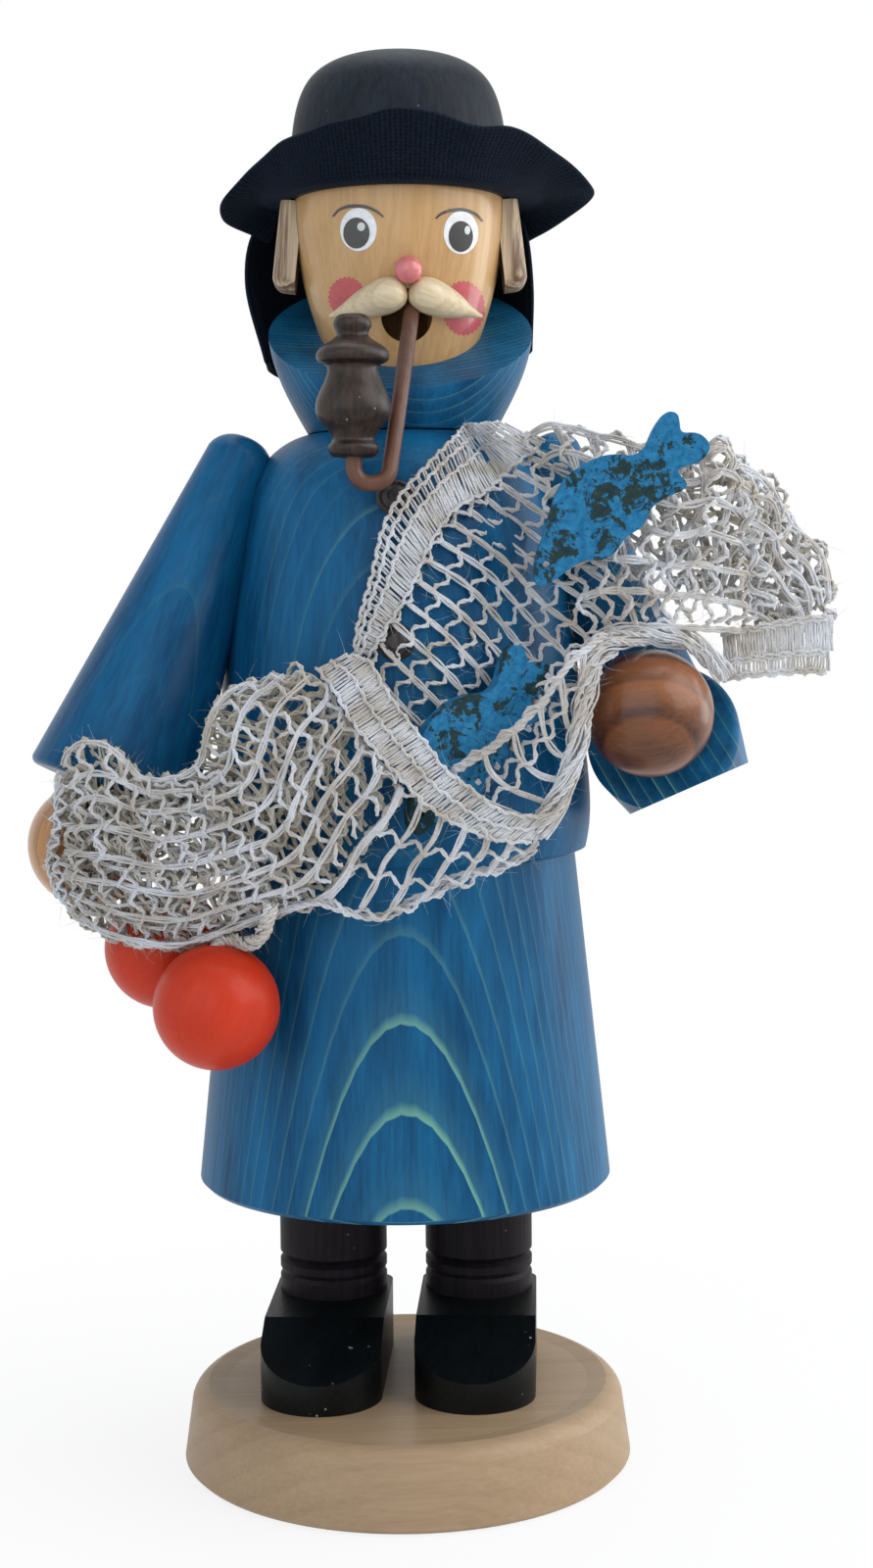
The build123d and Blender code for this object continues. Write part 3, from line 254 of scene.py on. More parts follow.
def plain_wood(name, dark, light, pith, lean=(0, 0, 1), spacing=0.0022, rough=0.4, coat=0.3, contrast=1.0,
               streak=0.45, spec=0.3):
    """Clear-finished hardwood: soft rings and fine pores along the grain."""
    s = Shader(name, Roughness=rough)
    ring = s.rings(pith, lean, spacing, wobble=0.002)
    wave = s.ramp(s.m("FRACT", ring), [(0.0, 0.15), (0.55, 0.45), (0.86, 0.95), (1.0, 0.15)])
    fine = s.noise(s.along(lean, 0.035), scale=1700.0, detail=3.0, rough=0.6)
    broad = s.noise(s.along(lean, 0.1), scale=90.0, detail=3.0)
    tone = s.add(s.blend(fine, streak, broad, 0.9 - streak), s.mul(wave, 0.22 * contrast))
    middle, spread = 0.58, 0.16 / contrast
    s.set(Base_Color=s.mix(s.span(tone, middle - spread, middle + spread), srgb(*light), srgb(*dark)))
    s.bump(fine, 0.1)
    s.lacquer(coat, 0.12, spec)
    return s.mat


def dark_stain(name, deep, mid, rough, coat, specks=0.5, lean=(0, 0, 1), bump=0.2, spec=0.1):
    """Dark stained and lacquered wood, with the grain just showing and tiny pale specks of dust."""
    s = Shader(name, Roughness=rough)
    fine = s.noise(s.along(lean, 0.06), scale=1300.0, detail=3.0, rough=0.65)
    broad = s.noise(s.along(lean, 0.2), scale=160.0)
    ground = s.mix(s.span(s.blend(fine, 0.6, broad, 0.4), 0.38, 0.66), srgb(*deep), srgb(*mid))
    keep = s.span(s.noise(scale=170.0, detail=1.0), 0.6, 0.68)
    dust = s.mul(s.mul(s.span(s.cells(520.0), 0.13, 0.06), keep), specks, clamp=True)
    s.set(Base_Color=s.mix(dust, ground, DUST))
    s.bump(fine, bump)
    s.lacquer(coat, 0.25, spec)
    return s.mat


def gloss_paint(name, colour):
    s = Shader(name, Roughness=0.25)
    tone = s.noise(scale=55.0, detail=3.0)
    s.set(Base_Color=s.mix(s.span(tone, 0.35, 0.65), darker(colour, 0.76), colour))
    s.bump(s.noise(scale=700.0), 0.06)
    s.lacquer(0.4, 0.08, 0.4)
    return s.mat


def crackle_paint(name):
    """Teal paint on bare wood: worn islands of light blue over dark teal, with the wood showing."""
    s = Shader(name, Roughness=0.5)
    fine = s.noise(scale=900.0, detail=4.0, rough=0.7)
    blot = s.noise(scale=330.0, detail=4.0, rough=0.75, warp=0.4)
    wide = s.noise(scale=95.0, detail=3.0, rough=0.6)
    mask = s.span(s.blend(blot, 0.65, wide, 0.35), 0.478, 0.5)
    paint = s.mix(s.span(fine, 0.35, 0.65), srgb(20, 94, 138), srgb(46, 126, 170))
    worn = s.mix(s.span(fine, 0.4, 0.6), srgb(14, 46, 56), srgb(40, 56, 50))
    s.set(Base_Color=s.mix(mask, worn, paint), Specular_IOR_Level=0.15)
    s.bump(mask, 0.35, 0.00015)
    return s.mat


def black_cloth(name):
    """Finely ribbed black cloth with a bluish sheen."""
    rib, thread = 0.00075, 0.0006
    s = Shader(name, Roughness=0.85)
    uv = s.node("ShaderNodeTexCoord", out="UV")
    ribs, cross = [s.m("SINE", s.mul(s.node("ShaderNodeSeparateXYZ", (uv,), out=axis), TURN / pitch))
                   for axis, pitch in enumerate((rib, thread))]
    weave = s.mul(s.add(ribs, s.mul(cross, 0.55)), 0.5)
    tone = s.add(s.mul(weave, 0.3), s.noise(scale=2600.0))
    s.set(Base_Color=s.mix(s.span(tone, 0.2, 0.85), srgb(5, 8, 13), srgb(22, 31, 44)))
    s.set(Sheen_Tint=srgb(150, 170, 210))
    s.sheen(0.06, 0.5, 0.06)
    s.bump(tone, 0.5)
    return s.mat


def yarn(name, dark, mid, light):
    """Linen yarn: off-white to grey-beige, with long fibres wound round it."""
    s = Shader(name, Roughness=0.85)
    tone = s.noise(scale=150.0, detail=3.0)
    fibre = s.noise(scale=2600.0, detail=3.0, rough=0.7)
    base = s.mix(s.span(tone, 0.36, 0.62), srgb(*mid), srgb(*light))
    s.set(Base_Color=s.mix(s.span(fibre, 0.42, 0.30, 0.0, 0.75), base, srgb(*dark)))
    s.sheen(0.25, 0.4, 0.25)
    s.bump(fibre, 0.6)
    return s.mat


def metal(name, colour, rough):
    s = Shader(name, Metallic=1.0)
    tone = s.noise(s.stretch((1, 1, 0.2)), scale=900.0, detail=3.0)
    s.set(Base_Color=s.mix(tone, darker(colour, 0.7), colour),
          Roughness=s.span(tone, 0.3, 0.7, rough * 0.8, rough * 1.3))
    return s.mat


def arm_way(low, high):
    return tuple(Vector(high) - Vector(low))


LEFT_ARM = arm_way((-51.5, -15.0, 108.6), (-26.6, -4.0, 172.6))
RIGHT_ARM = arm_way((49.2, 0.0, 115.6), (25.0, -3.0, 172.6))
SKIRT_LEAN, SKIRT_Z = 0.029, 0.078
PALE_WOOD = ((138, 112, 84), (180, 154, 122))
mats = {
    "base_disc": plain_wood("pale_wood", *PALE_WOOD, (0.02, 0.06, 0.12), (1, 0.05, 0.02), spacing=0.0042,
                            rough=0.5, coat=0.06, contrast=0.5),
    "peg": plain_wood("peg_wood", *PALE_WOOD, (0.05, 0.01, 0), rough=0.6, coat=0.0),
    "head": plain_wood("head_wood", (160, 118, 72), (208, 168, 114), (0.06, 0.05, 0.0), (0.05, 0.0, 1),
                       spacing=0.0026, rough=0.35, coat=0.35, contrast=0.55),
    "moustache": plain_wood("moustache_wood", (168, 140, 104), (230, 214, 178), (0.03, 0.03, 0.19),
                            (1, 0.1, -0.3), spacing=0.0018, rough=0.38, contrast=0.6),
    "hair": plain_wood("hair_wood", (112, 88, 66), (204, 182, 152), (0.0, 0.04, 0.2), (0.05, 0, 1),
                       spacing=0.0014, rough=0.42, coat=0.12, contrast=1.6, streak=0.6),
    "pipe_stem": plain_wood("stem_wood", (62, 38, 30), (104, 68, 50), (0.01, 0.0, 0.18), spacing=0.002,
                            rough=0.42, coat=0.12, contrast=0.6),
    "hand_left": plain_wood("honey_wood", (132, 82, 38), (190, 132, 72), (-0.08, 0.02, 0.1), (0.2, 0.1, 1),
                            spacing=0.0028, rough=0.3, coat=0.5),
    "hand_right": plain_wood("walnut_wood", (64, 32, 20), (138, 84, 48), (0.04, 0.16, 0.30),
                             (1, -0.25, 0.12), spacing=0.0052, rough=0.34, coat=0.2, streak=0.25),
    "float": plain_wood("float_red", (164, 30, 14), (210, 60, 26), (-0.06, 0.03, 0.07), (0.5, 0.1, 1),
                        spacing=0.003, rough=0.42, coat=0.08, contrast=0.35, spec=0.2),
    "shoe": dark_stain("shoe_black", (2, 3, 3), (12, 16, 17), 0.45, 0.12, specks=0.8, lean=(0.3, 1, 0)),
    "leg": dark_stain("leg_brown", (14, 12, 15), (36, 30, 36), 0.55, 0.02, specks=0.3),
    "hat_crown": dark_stain("crown_black", (17, 23, 31), (38, 46, 56), 0.5, 0.03, specks=0.7),
    "pipe_bowl": dark_stain("pipe_brown", (14, 9, 7), (60, 41, 30), 0.4, 0.1, bump=0.4, spec=0.25),
    "button": dark_stain("button_brown", (22, 18, 18), (66, 60, 62), 0.38, 0.25, specks=0.3),
    "lower_body": blue("skirt_blue", (0.0005, 0.060 - SKIRT_LEAN * SKIRT_Z, 0.0), (0, SKIRT_LEAN, 1),
                       0.00113, wobble=0.0011, strong=(81.2, 81.6)),
    "upper_body": blue("chest_blue", (0.002, 0.060, 0.0), (0.0, 0.02, 1), 0.0015, 0.11, wobble=0.0005),
    "collar": blue("collar_blue", (-0.01, 0.050, 0.18), (0.02, 0.02, 1), 0.0011, 0.36),
    "arm_straight": blue("arm_left_blue", (-0.04, 0.075, 0.14), LEFT_ARM, 0.0024, 0.06, rough=0.34),
    "arm_bent_upper": blue("arm_right_blue", (0.09, 0.05, 0.14), RIGHT_ARM, 0.0016, 0.4),
    "arm_bent_fore": blue("forearm_blue", (0.19, 0.0, 0.19), (0.3, 0.85, -0.42), 0.0021, 0.75),
    "nose": gloss_paint("nose_pink", srgb(232, 128, 130)),
    "cloth": black_cloth("hat_cloth"),
    "fish": crackle_paint("teal_crackle"),
    "yarn": yarn("linen_yarn", (118, 108, 98), (190, 184, 176), (216, 218, 222)),
    # The beiger, slightly darker copy of the yarn: painted shade on net that lies behind other net, and a
    # second yarn tone in the float ties
    "yarn_beige_and_shaded": yarn("linen_yarn_beige_and_shaded", (116, 106, 92), (178, 168, 150), (214, 208, 196)),
    "burner_dish": metal("tin", srgb(190, 190, 186), 0.35),
    "burner_tack": metal("brass", srgb(206, 168, 92), 0.3),
}
# A node takes the material of its own name or else of its first word, but for these parts of names
SHARED = {"_peg": "peg", "float_tie": "yarn", "net_": "yarn", "hat_brim": "cloth", "neck_flap": "cloth"}
for name, obj in nodes.items():
    own = name if name in mats else name.split("_")[0]
    key = next((key for part, key in SHARED.items() if part in name), own)
    obj.data.materials.clear()
    obj.data.materials.append(mats[key])


# Geometry helpers: points are numpy arrays in metres
def new_piece(name, verts, faces, mats_used, body="upper", indices=None):
    mesh = bpy.data.meshes.new(name)
    mesh.from_pydata([tuple(v) for v in verts], [], faces)
    obj = bpy.data.objects.new(name, mesh)
    bpy.context.scene.collection.objects.link(obj)
    for key in mats_used:
        mesh.materials.append(mats[key])
    if indices is not None:
        mesh.polygons.foreach_set("material_index", indices)
    mesh.polygons.foreach_set("use_smooth", [True] * len(mesh.polygons))
    mesh.update()
    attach(obj, body)
    return obj


def photo(px, py, y_mm):
    """The world point behind a pixel of the photograph, on the upright plane at that y."""
    way = pixel_ray(px, py)
    reach = (y_mm * MM - EYE.y) / way.y
    return np.array(EYE + way * reach)


def run_of(line):
    """The distance along a line to each of its points."""
    return np.concatenate([[0], np.cumsum(np.linalg.norm(np.diff(line, axis=0), axis=1))])


def even_run(line):
    """The same for a line with even steps."""
    return np.arange(len(line)) * length_of(line) / len(line)


def catmull(a, b, c, d, t):
    """The smooth curve between b and c, at a share t of the way."""
    return 0.5 * (2 * b + (c - a) * t + (2 * a - 5 * b + 4 * c - d) * t ** 2
                  + (3 * b - a - 3 * c + d) * t ** 3)


def spline(points, count):
    """A smooth curve through the points, as count points evenly spaced along it."""
    p = np.asarray(points, float)
    if len(p) == 2:
        t = np.linspace(0, 1, count)[:, None]
        return p[0] * (1 - t) + p[1] * t
    ends = np.vstack([2 * p[0] - p[1], p, 2 * p[-1] - p[-2]])
    pieces = []
    for i in range(1, len(ends) - 2):
        pieces.append(catmull(*ends[i - 1:i + 3], np.linspace(0, 1, 13)[:-1, None]))
    line = np.vstack(pieces + [p[-1:]])
    run = run_of(line)
    want = np.linspace(0, run[-1], count)
    return np.stack([np.interp(want, run, line[:, k]) for k in range(3)], axis=1)


def length_of(line):
    return float(np.linalg.norm(np.diff(line, axis=0), axis=1).sum())


def smooth_noise(rng, count, step):
    """A smooth random row of numbers between about -1 and 1, with a knot every step places."""
    knots = rng.uniform(-1, 1, max(int(count / step) + 3, 4))
    place = np.linspace(0, len(knots) - 1.001, count)
    low = place.astype(int)
    part = place - low
    part = part * part * (3 - 2 * part)
    return knots[low] * (1 - part) + knots[low + 1] * part


LINE_STEP = 0.0007


class Cloth:
    """A surface through rows of control points; u runs along a row and v from row to row."""

    NU, NV = 60, 40

    def __init__(self, rows, crumple=0.0, seed=0, push=0.0):
        lines = np.array([spline(row, self.NU) for row in rows])
        grid = np.array([spline(lines[:, k], self.NV) for k in range(self.NU)])
        self.grid = grid.transpose(1, 0, 2)
        if crumple or push:
            rng = np.random.default_rng(seed)
            n = self.normals()
            waves = np.zeros((self.NV, self.NU))
            vv, uu = np.mgrid[0:1:self.NV * 1j, 0:1:self.NU * 1j]
            for k in range(7):
                fu, fv = rng.uniform(1.5, 6.5), rng.uniform(1.0, 4.5)
                waves += np.sin(TURN * (fu * uu + fv * vv * rng.choice([-1, 1])) + rng.uniform(0, 6.28)) / 3.0
            fade = np.clip(np.minimum(vv, 1 - vv) * 6, 0.25, 1)
            self.grid = self.grid + n * (waves * crumple * fade + push)[..., None]

    def normals(self):
        du = np.gradient(self.grid, axis=1)
        dv = np.gradient(self.grid, axis=0)
        n = np.cross(du, dv)
        n /= np.maximum(np.linalg.norm(n, axis=2, keepdims=True), 1e-12)
        return n * np.where(n[..., 1:2] > 0, -1, 1)

    def at(self, u, v):
        a = np.clip(u, 0, 1) * (self.NU - 1)
        b = np.clip(v, 0, 1) * (self.NV - 1)
        i, j = np.minimum(a.astype(int), self.NU - 2), np.minimum(b.astype(int), self.NV - 2)
        s, t = (a - i)[:, None], (b - j)[:, None]
        g = self.grid
        low = g[j, i] * (1 - s) + g[j, i + 1] * s
        high = g[j + 1, i] * (1 - s) + g[j + 1, i + 1] * s
        return low * (1 - t) + high * t

    def line(self, u0, v0, u1, v1, step=LINE_STEP):
        """A run over the surface, at even steps."""
        t = np.linspace(0, 1, 80)
        rough = self.at(u0 + (u1 - u0) * t, v0 + (v1 - v0) * t)
        count = max(int(length_of(rough) / step), 4)
        return spline(rough[::4] if len(rough) > 16 else rough, count)

    def area(self):
        du = np.diff(self.grid, axis=1)[:-1]
        dv = np.diff(self.grid, axis=0)[:, :-1]
        return float(np.linalg.norm(np.cross(du, dv), axis=2).sum())


def tangents(line):
    t = np.gradient(line, axis=0)
    return t / np.maximum(np.linalg.norm(t, axis=1, keepdims=True), 1e-12)


def frames(line):
    """For each point of a line, the direction nearest to -Y that is square to the line, and the third one.

    Where the line itself runs almost along Y, another direction takes the place of -Y.
    """
    t = tangents(line)

    def square(way):
        way = np.asarray(way, float) + np.zeros_like(line)
        return way - t * (way * t).sum(1, keepdims=True)

    n = square((0, -1, 0))
    short = np.linalg.norm(n, axis=1, keepdims=True) < 0.15
    n = np.where(short, square((0.35, -0.2, 0.9)), n)
    n /= np.linalg.norm(n, axis=1, keepdims=True)
    return n, np.cross(t, n)


def wound(line, n, b, turn, out):
    """A line wound round another, by a turn and a distance for each point."""
    return line + (np.cos(turn) * out)[:, None] * n + (np.sin(turn) * out)[:, None] * b


class Tubes:
    """Gathers many thin tubes into one mesh."""

    PLIES, TIGHT = 2, 0.92
    HAIR_LENGTH, HAIR_RADIUS, HAIR_START = 0.0022, 0.00003, 0.0003

    def __init__(self):
        self.verts, self.faces, self.index, self.count = [], [], [], 0

    def add(self, line, radius, sides=5, mat=0, taper=False):
        line = np.asarray(line)
        n, b = frames(line)
        angle = np.arange(sides) * TURN / sides
        r = np.full(len(line), radius) if not taper else radius * np.linspace(1, 0.25, len(line))
        ring = (line[:, None] + r[:, None, None] * (np.cos(angle)[None, :, None] * n[:, None]
                                                    + np.sin(angle)[None, :, None] * b[:, None]))
        m = len(line)
        self.verts.append(ring.reshape(-1, 3))
        i = np.arange(m - 1)[:, None] * sides + self.count
        k = np.arange(sides)[None]
        k2 = (k + 1) % sides
        quads = np.stack([i + k, i + k2, i + sides + k2, i + sides + k], axis=-1).reshape(-1, 4)
        self.faces += quads.tolist()
        self.faces.append((self.count + np.arange(sides)[::-1]).tolist())
        self.faces.append((self.count + (m - 1) * sides + np.arange(sides)).tolist())
        self.index += [mat] * (len(quads) + 2)
        self.count += m * sides

    def ply(self, line, radius, pitch=0.0034, phase=0.0, mat=0, sides=5):
        """A plied yarn: two plies wound round one another."""
        n, b = frames(line)
        run = run_of(line)
        for k in range(self.PLIES):
            turn = phase + TURN * (run / pitch + k / self.PLIES)
            offset = radius * self.TIGHT * (np.cos(turn)[:, None] * n + np.sin(turn)[:, None] * b)
            self.add(line + offset, radius, sides, mat)

    def strands(self, line, radius, spread, count=2, mat=0, rng=None, sides=5, pinch=1.0):
        """Loose parallel threads lying side by side."""
        n, b = frames(line)
        m = len(line)
        for k in range(count):
            place = (k - (count - 1) / 2) * spread
            wander = smooth_noise(rng, m, 9) * spread * 0.4
            lift = smooth_noise(rng, m, 11) * radius * 0.8
            self.add(line + b * ((place + wander) * pinch)[:, None] + n * lift[:, None], radius, sides, mat)

    def hairs(self, line, rng, every, mat=0):
        """Stray fibres that stand off a yarn."""
        n, b = frames(line)
        t = tangents(line)
        for _ in range(rng.poisson(length_of(line) / every)):
            i = rng.integers(0, len(line))
            turn = rng.uniform(0, TURN)
            out = np.cos(turn) * n[i] + np.sin(turn) * b[i]
            reach = self.HAIR_LENGTH * rng.uniform(0.4, 1.3)
            lean = t[i] * rng.uniform(-0.9, 0.9) + out
            curl = rng.normal(0, 0.5, 3)
            s = np.linspace(0, 1, 6)[:, None]
            hair = line[i] + out * self.HAIR_START + reach * (lean * s + curl * s ** 2)
            self.add(hair, self.HAIR_RADIUS, 3, mat, taper=True)

    def piece(self, name, mats_used, body="upper"):
        return new_piece(name, np.vstack(self.verts), self.faces, mats_used, body, self.index)


# The net: plied wavy warps crossed by loose straight threads, with ladder-woven hems
chest_tree = BVHTree.FromObject(nodes["upper_body"], bpy.context.evaluated_depsgraph_get())
CELL = 0.0044
WARP, WEFT, HEM = 0.00023, 0.00019, 0.00018
HAIR_ON_EDGE, HAIR_ON_HEM, HAIR_ON_WEFT = 0.002, 0.0025, 0.003
ROLL_RADIUS, ROLL_PITCH, ROLL_YARNS = 0.00125, 0.026, 8
SHEET_RATIO = 1.6


def on_chest(px, py, lift_mm=1.0):
    """The point of the chest behind a pixel, lifted off it a little."""
    hit, normal, _, _ = chest_tree.ray_cast(EYE, pixel_ray(px, py))
    if hit is None:
        return photo(px, py, -20)
    return np.array(hit + normal * (lift_mm * MM))


def rows_at(rows):
    """Rows of (pixel x, pixel y, y in mm), where a missing y means on the chest."""
    return [[on_chest(p[0], p[1]) if len(p) == 2 else photo(*p) for p in row] for row in rows]


def weave(tubes, cloth, rng, mat=0, cell=CELL, wave=0.0008, wavy_along_v=True, threads=3, hair=True,
          thick=1.0, sides=5):
    """Open leno mesh over a cloth: wavy plied yarns one way, straight threads the other."""
    nu = max(int(round(length_of(cloth.line(0, 0.5, 1, 0.5)) / cell)), 2)
    nv = max(int(round(length_of(cloth.line(0.5, 0, 0.5, 1)) / cell)), 2)
    straight = [(0, k / nv, 1, k / nv, nu) for k in range(nv + 1)]
    wavy = [(k / nu, 0, k / nu, 1, nv) for k in range(nu + 1)]
    if not wavy_along_v:
        straight, wavy = wavy, straight
    for u0, v0, u1, v1, cells in straight:
        rng.random()  # Not used, but the draws after it count on it
        jitter = rng.normal(0, 0.006, 2)
        line = cloth.line(u0, v0 + jitter[0], u1, v1 + jitter[1])
        share = np.linspace(0, cells, len(line))
        pinch = 0.55 + 0.45 * np.abs(np.sin(math.pi * share))
        tubes.strands(line, WEFT * thick, 0.00036 * thick, threads, mat, rng, pinch=pinch, sides=sides)
        if hair:
            tubes.hairs(line, rng, HAIR_ON_WEFT, mat)
    for k, (u0, v0, u1, v1, cells) in enumerate(wavy):
        rng.random()  # Not used either
        jitter = rng.normal(0, 0.006, 2)
        line = cloth.line(u0 + jitter[0], v0, u1 + jitter[1], v1)
        n, b = frames(line)
        share = np.linspace(0, cells, len(line))
        swing = wave * (np.sin(TURN * share + k) + 0.35 * smooth_noise(rng, len(line), 8))
        lift = 0.0003 * np.cos(TURN * share + k)
        line = line + b * swing[:, None] + n * lift[:, None]
        tubes.ply(line, WARP * thick, phase=rng.uniform(0, 6.28), mat=mat, sides=sides)
        if hair:
            tubes.hairs(line, rng, HAIR_ON_EDGE, mat)
    return cloth.area()


def hem_band(tubes, cloth, rng, rails, dense, step=0.00125, paired=False):
    """A ladder-woven band: plied rails along it, and close cross threads in the dense part."""
    rail_pitch, cross_step = 0.0026, 0.0006
    for v in rails:
        line = cloth.line(0, v, 1, v)
        n, b = frames(line)
        share = np.arange(len(line)) * LINE_STEP
        wob = 0.00022 * np.sin(TURN * share / rail_pitch + v * 9)
        for shift in ((-0.0003, 0.0003) if paired else (0.0,)):
            rail = line + b * (wob + shift)[:, None] + n * 0.0002
            tubes.ply(rail, WARP * 0.92, pitch=rail_pitch, phase=rng.uniform(0, 6.28))
        tubes.hairs(line, rng, HAIR_ON_HEM)
    count = int(length_of(cloth.line(0, 0.5, 1, 0.5)) / step)
    for k in range(count):
        u = (k + 0.5) / count
        tubes.strands(cloth.line(u, 0.0, u, 1.0, step=cross_step), HEM, 0.0004, 2, 0, rng, sides=4)
        for low, high in dense:
            extra = cloth.line(u + 0.5 / count, low, min(u + 0.5 / count, 1), high, step=cross_step)
            tubes.strands(extra, HEM, 0.00038, 2, 0, rng, sides=4)
    return cloth.area()


net = Tubes()
rng = np.random.default_rng(7)
flat_area = 0.0

# The panel on the chest; rows run from the crossing hem up to the right
panel = Cloth(rows_at([
    [(376, 676), (395, 642), (419, 605), (433, 571), (453, 538), (492, 508), (530, 474, -19),
     (560, 455, -17)],
    [(388, 696), (413, 670), (430, 650), (464, 613), (500, 583), (540, 548), (575, 505, -22),
     (600, 470, -19)],
    [(424, 735), (440, 713), (470, 689), (500, 668), (534, 639), (562, 604, -27), (595, 560, -25),
     (630, 520, -22), (650, 490, -20)],
    [(458, 770, -33), (485, 748), (512, 722), (545, 692, -30), (578, 662, -30), (608, 635, -28.5),
     (645, 600, -27), (680, 565, -25), (705, 530, -22)],
    [(495, 805, -35), (530, 772, -34.5), (558, 735, -34), (585, 700, -33.5), (615, 672, -32),
     (650, 650, -30.5), (690, 628, -29), (735, 604, -26)],
]))
flat_area += weave(net, panel, rng, wavy_along_v=False)

# The fold between the lower fish and the hand
fold = Cloth(rows_at([
    [(461, 785, -37), (500, 762, -37), (528, 740, -37), (556, 712, -36.5), (573, 686, -36),
     (598, 661, -34.5), (625, 645, -32)],
    [(470, 800, -38), (510, 785, -38), (540, 765, -38), (565, 740, -37.5), (580, 715, -37),
     (597, 690, -35.5), (610, 670, -34)],
    [(500, 820, -38.5), (530, 805, -38.5), (555, 785, -38), (572, 760, -38), (583, 735, -37.5),
     (592, 715, -36.5), (602, 690, -35.5)],
    [(545, 838, -39), (562, 820, -38.5), (575, 795, -38), (584, 770, -38), (590, 745, -38),
     (596, 722, -37.5), (603, 700, -36.5)],
]))
flat_area += weave(net, fold, rng, cell=0.0046, wavy_along_v=False)
for v in (0.0, 0.04):
    edge = fold.line(0, v, 1, v)
    net.ply(edge, WARP * 1.2, phase=v * 50)
    net.hairs(edge, rng, HAIR_ON_EDGE)

# The front hem, up the chest to the shoulder
hem_a = Cloth(rows_at([
    [(364, 668), (366, 645), (371, 622), (381, 585), (387, 555), (394, 532), (410, 504), (433, 479),
     (458, 454), (474, 440), (494, 430, -20), (517, 437, -18)],
    [(378, 672), (388, 655), (400, 636), (419, 605), (433, 571), (446, 545), (465, 522), (492, 508),
     (512, 490), (530, 474, -20), (545, 462, -18), (556, 452, -17)],
]), push=0.0006)
flat_area += hem_band(net, hem_a, rng, rails=(0.02, 0.2, 0.45, 0.97), dense=((0.45, 1.0),))

# The hem that crosses the bundle
hem_b = Cloth(rows_at([
    [(352, 668, -35), (377, 674, -36), (391, 698, -37), (408, 723, -38), (425, 745, -39), (441, 765, -40),
     (455, 785, -40.5), (481, 804, -41), (506, 824, -41), (534, 832, -40.5), (562, 830, -39.5),
     (578, 815, -38.5)],
    [(322, 682, -36), (340, 705, -38), (357, 735, -40), (374, 757, -41), (392, 778, -41.5), (410, 797, -42),
     (428, 816, -42), (450, 833, -42), (478, 848, -41.5), (508, 858, -41), (538, 860, -40),
     (552, 856, -39.5)],
]))
flat_area += hem_band(net, hem_b, rng, rails=(0.02, 0.5, 0.97), dense=((0.0, 0.47), (0.53, 1.0)),
                      step=0.0011)

# The bundle between the crossing hem and the left hand: a front layer and the layers behind it
front_rows = [
    [(262, 697, -33), (240, 702, -33), (222, 718, -34), (212, 745, -35), (205, 778, -35), (185, 793, -34),
     (150, 795, -32), (130, 780, -31), (112, 762, -30), (88, 757, -29), (70, 768, -28), (60, 792, -28)],
    [(287, 690, -34), (262, 712, -36), (243, 738, -37), (235, 763, -37.5), (223, 791, -37), (205, 806, -36),
     (167, 813, -34.5), (139, 822, -33.5), (101, 818, -32), (80, 800, -30), (62, 812, -29)],
    [(310, 688, -35), (287, 714, -37.5), (266, 756, -39), (247, 796, -39), (219, 817, -38.5),
     (181, 838, -37), (124, 848, -34), (95, 838, -32), (60, 832, -29)],
    [(333, 704, -37), (322, 745, -39.5), (300, 790, -40), (280, 825, -40), (245, 850, -39),
     (200, 863, -37.5), (140, 873, -34.5), (95, 864, -32), (57, 850, -29)],
    [(348, 730, -39), (330, 777, -40.5), (308, 822, -41), (299, 846, -40.5), (271, 874, -39.5),
     (235, 890, -38), (180, 898, -36), (120, 898, -33), (80, 884, -31), (54, 868, -28)],
    [(375, 765, -41), (360, 801, -41), (337, 841, -40.5), (320, 874, -39.5), (294, 900, -38),
     (250, 917, -36.5), (200, 928, -35), (140, 928, -32), (95, 914, -30), (58, 894, -27)],
    [(410, 803, -41.5), (395, 835, -41), (367, 865, -39.5), (353, 893, -38), (325, 920, -36),
     (285, 930, -34.5), (240, 945, -33), (190, 963, -31.5), (140, 960, -30), (95, 946, -28),
     (64, 920, -26)],
]
front = Cloth(rows_at(front_rows), crumple=0.0006, seed=3)
flat_area += weave(net, front, rng)
corner = Cloth(rows_at([
    [(410, 803, -41.5), (395, 835, -41), (367, 865, -39.5), (353, 893, -38), (332, 922, -36)],
    [(450, 828, -41.5), (440, 855, -41), (425, 878, -40), (402, 905, -38.5), (385, 934, -36.5)],
    [(500, 850, -41), (492, 864, -40.5), (480, 880, -39.5), (465, 898, -38), (440, 914, -36.5)],
    [(548, 858, -39.5), (545, 864, -39), (540, 868, -38.5), (530, 874, -37.5), (520, 881, -36.5)],
]), crumple=0.0003, seed=4)
flat_area += weave(net, corner, rng)


def layers(rows, stations):
    """Woven layers behind some rows, from stations of mm further in, crumple, seed, turned, cell and mat."""
    areas = []
    for k, (by, crumple, seed, flip, cell, mat) in enumerate(stations):
        deeper = [[(x, y, z + by) for x, y, z in row] for row in rows]
        layer = Cloth(rows_at(deeper), crumple=crumple, seed=seed)
        areas.append(weave(net, layer, rng, mat=mat, wavy_along_v=flip, cell=CELL * cell, threads=2,
                           hair=k == 0, sides=4))
    return sum(areas)


# The layers given mat 1, here and beside the left hand below, take the beiger yarn: painted shade for net
# that lies behind other net
flat_area += layers(front_rows, (
    (2.2, 0.0010, 11, False, 0.9, 1), (3.9, 0.0013, 12, True, 0.9, 1), (5.6, 0.0015, 13, False, 0.9, 1),
))
# Where the bundle is gathered beside the left hand, more of it lies in folds
gathered = [row[4:] for row in front_rows[1:]]
flat_area += layers(gathered, ((1.2, 0.0012, 14, True, 0.85, 0), (3.0, 0.0016, 15, False, 0.85, 1)))

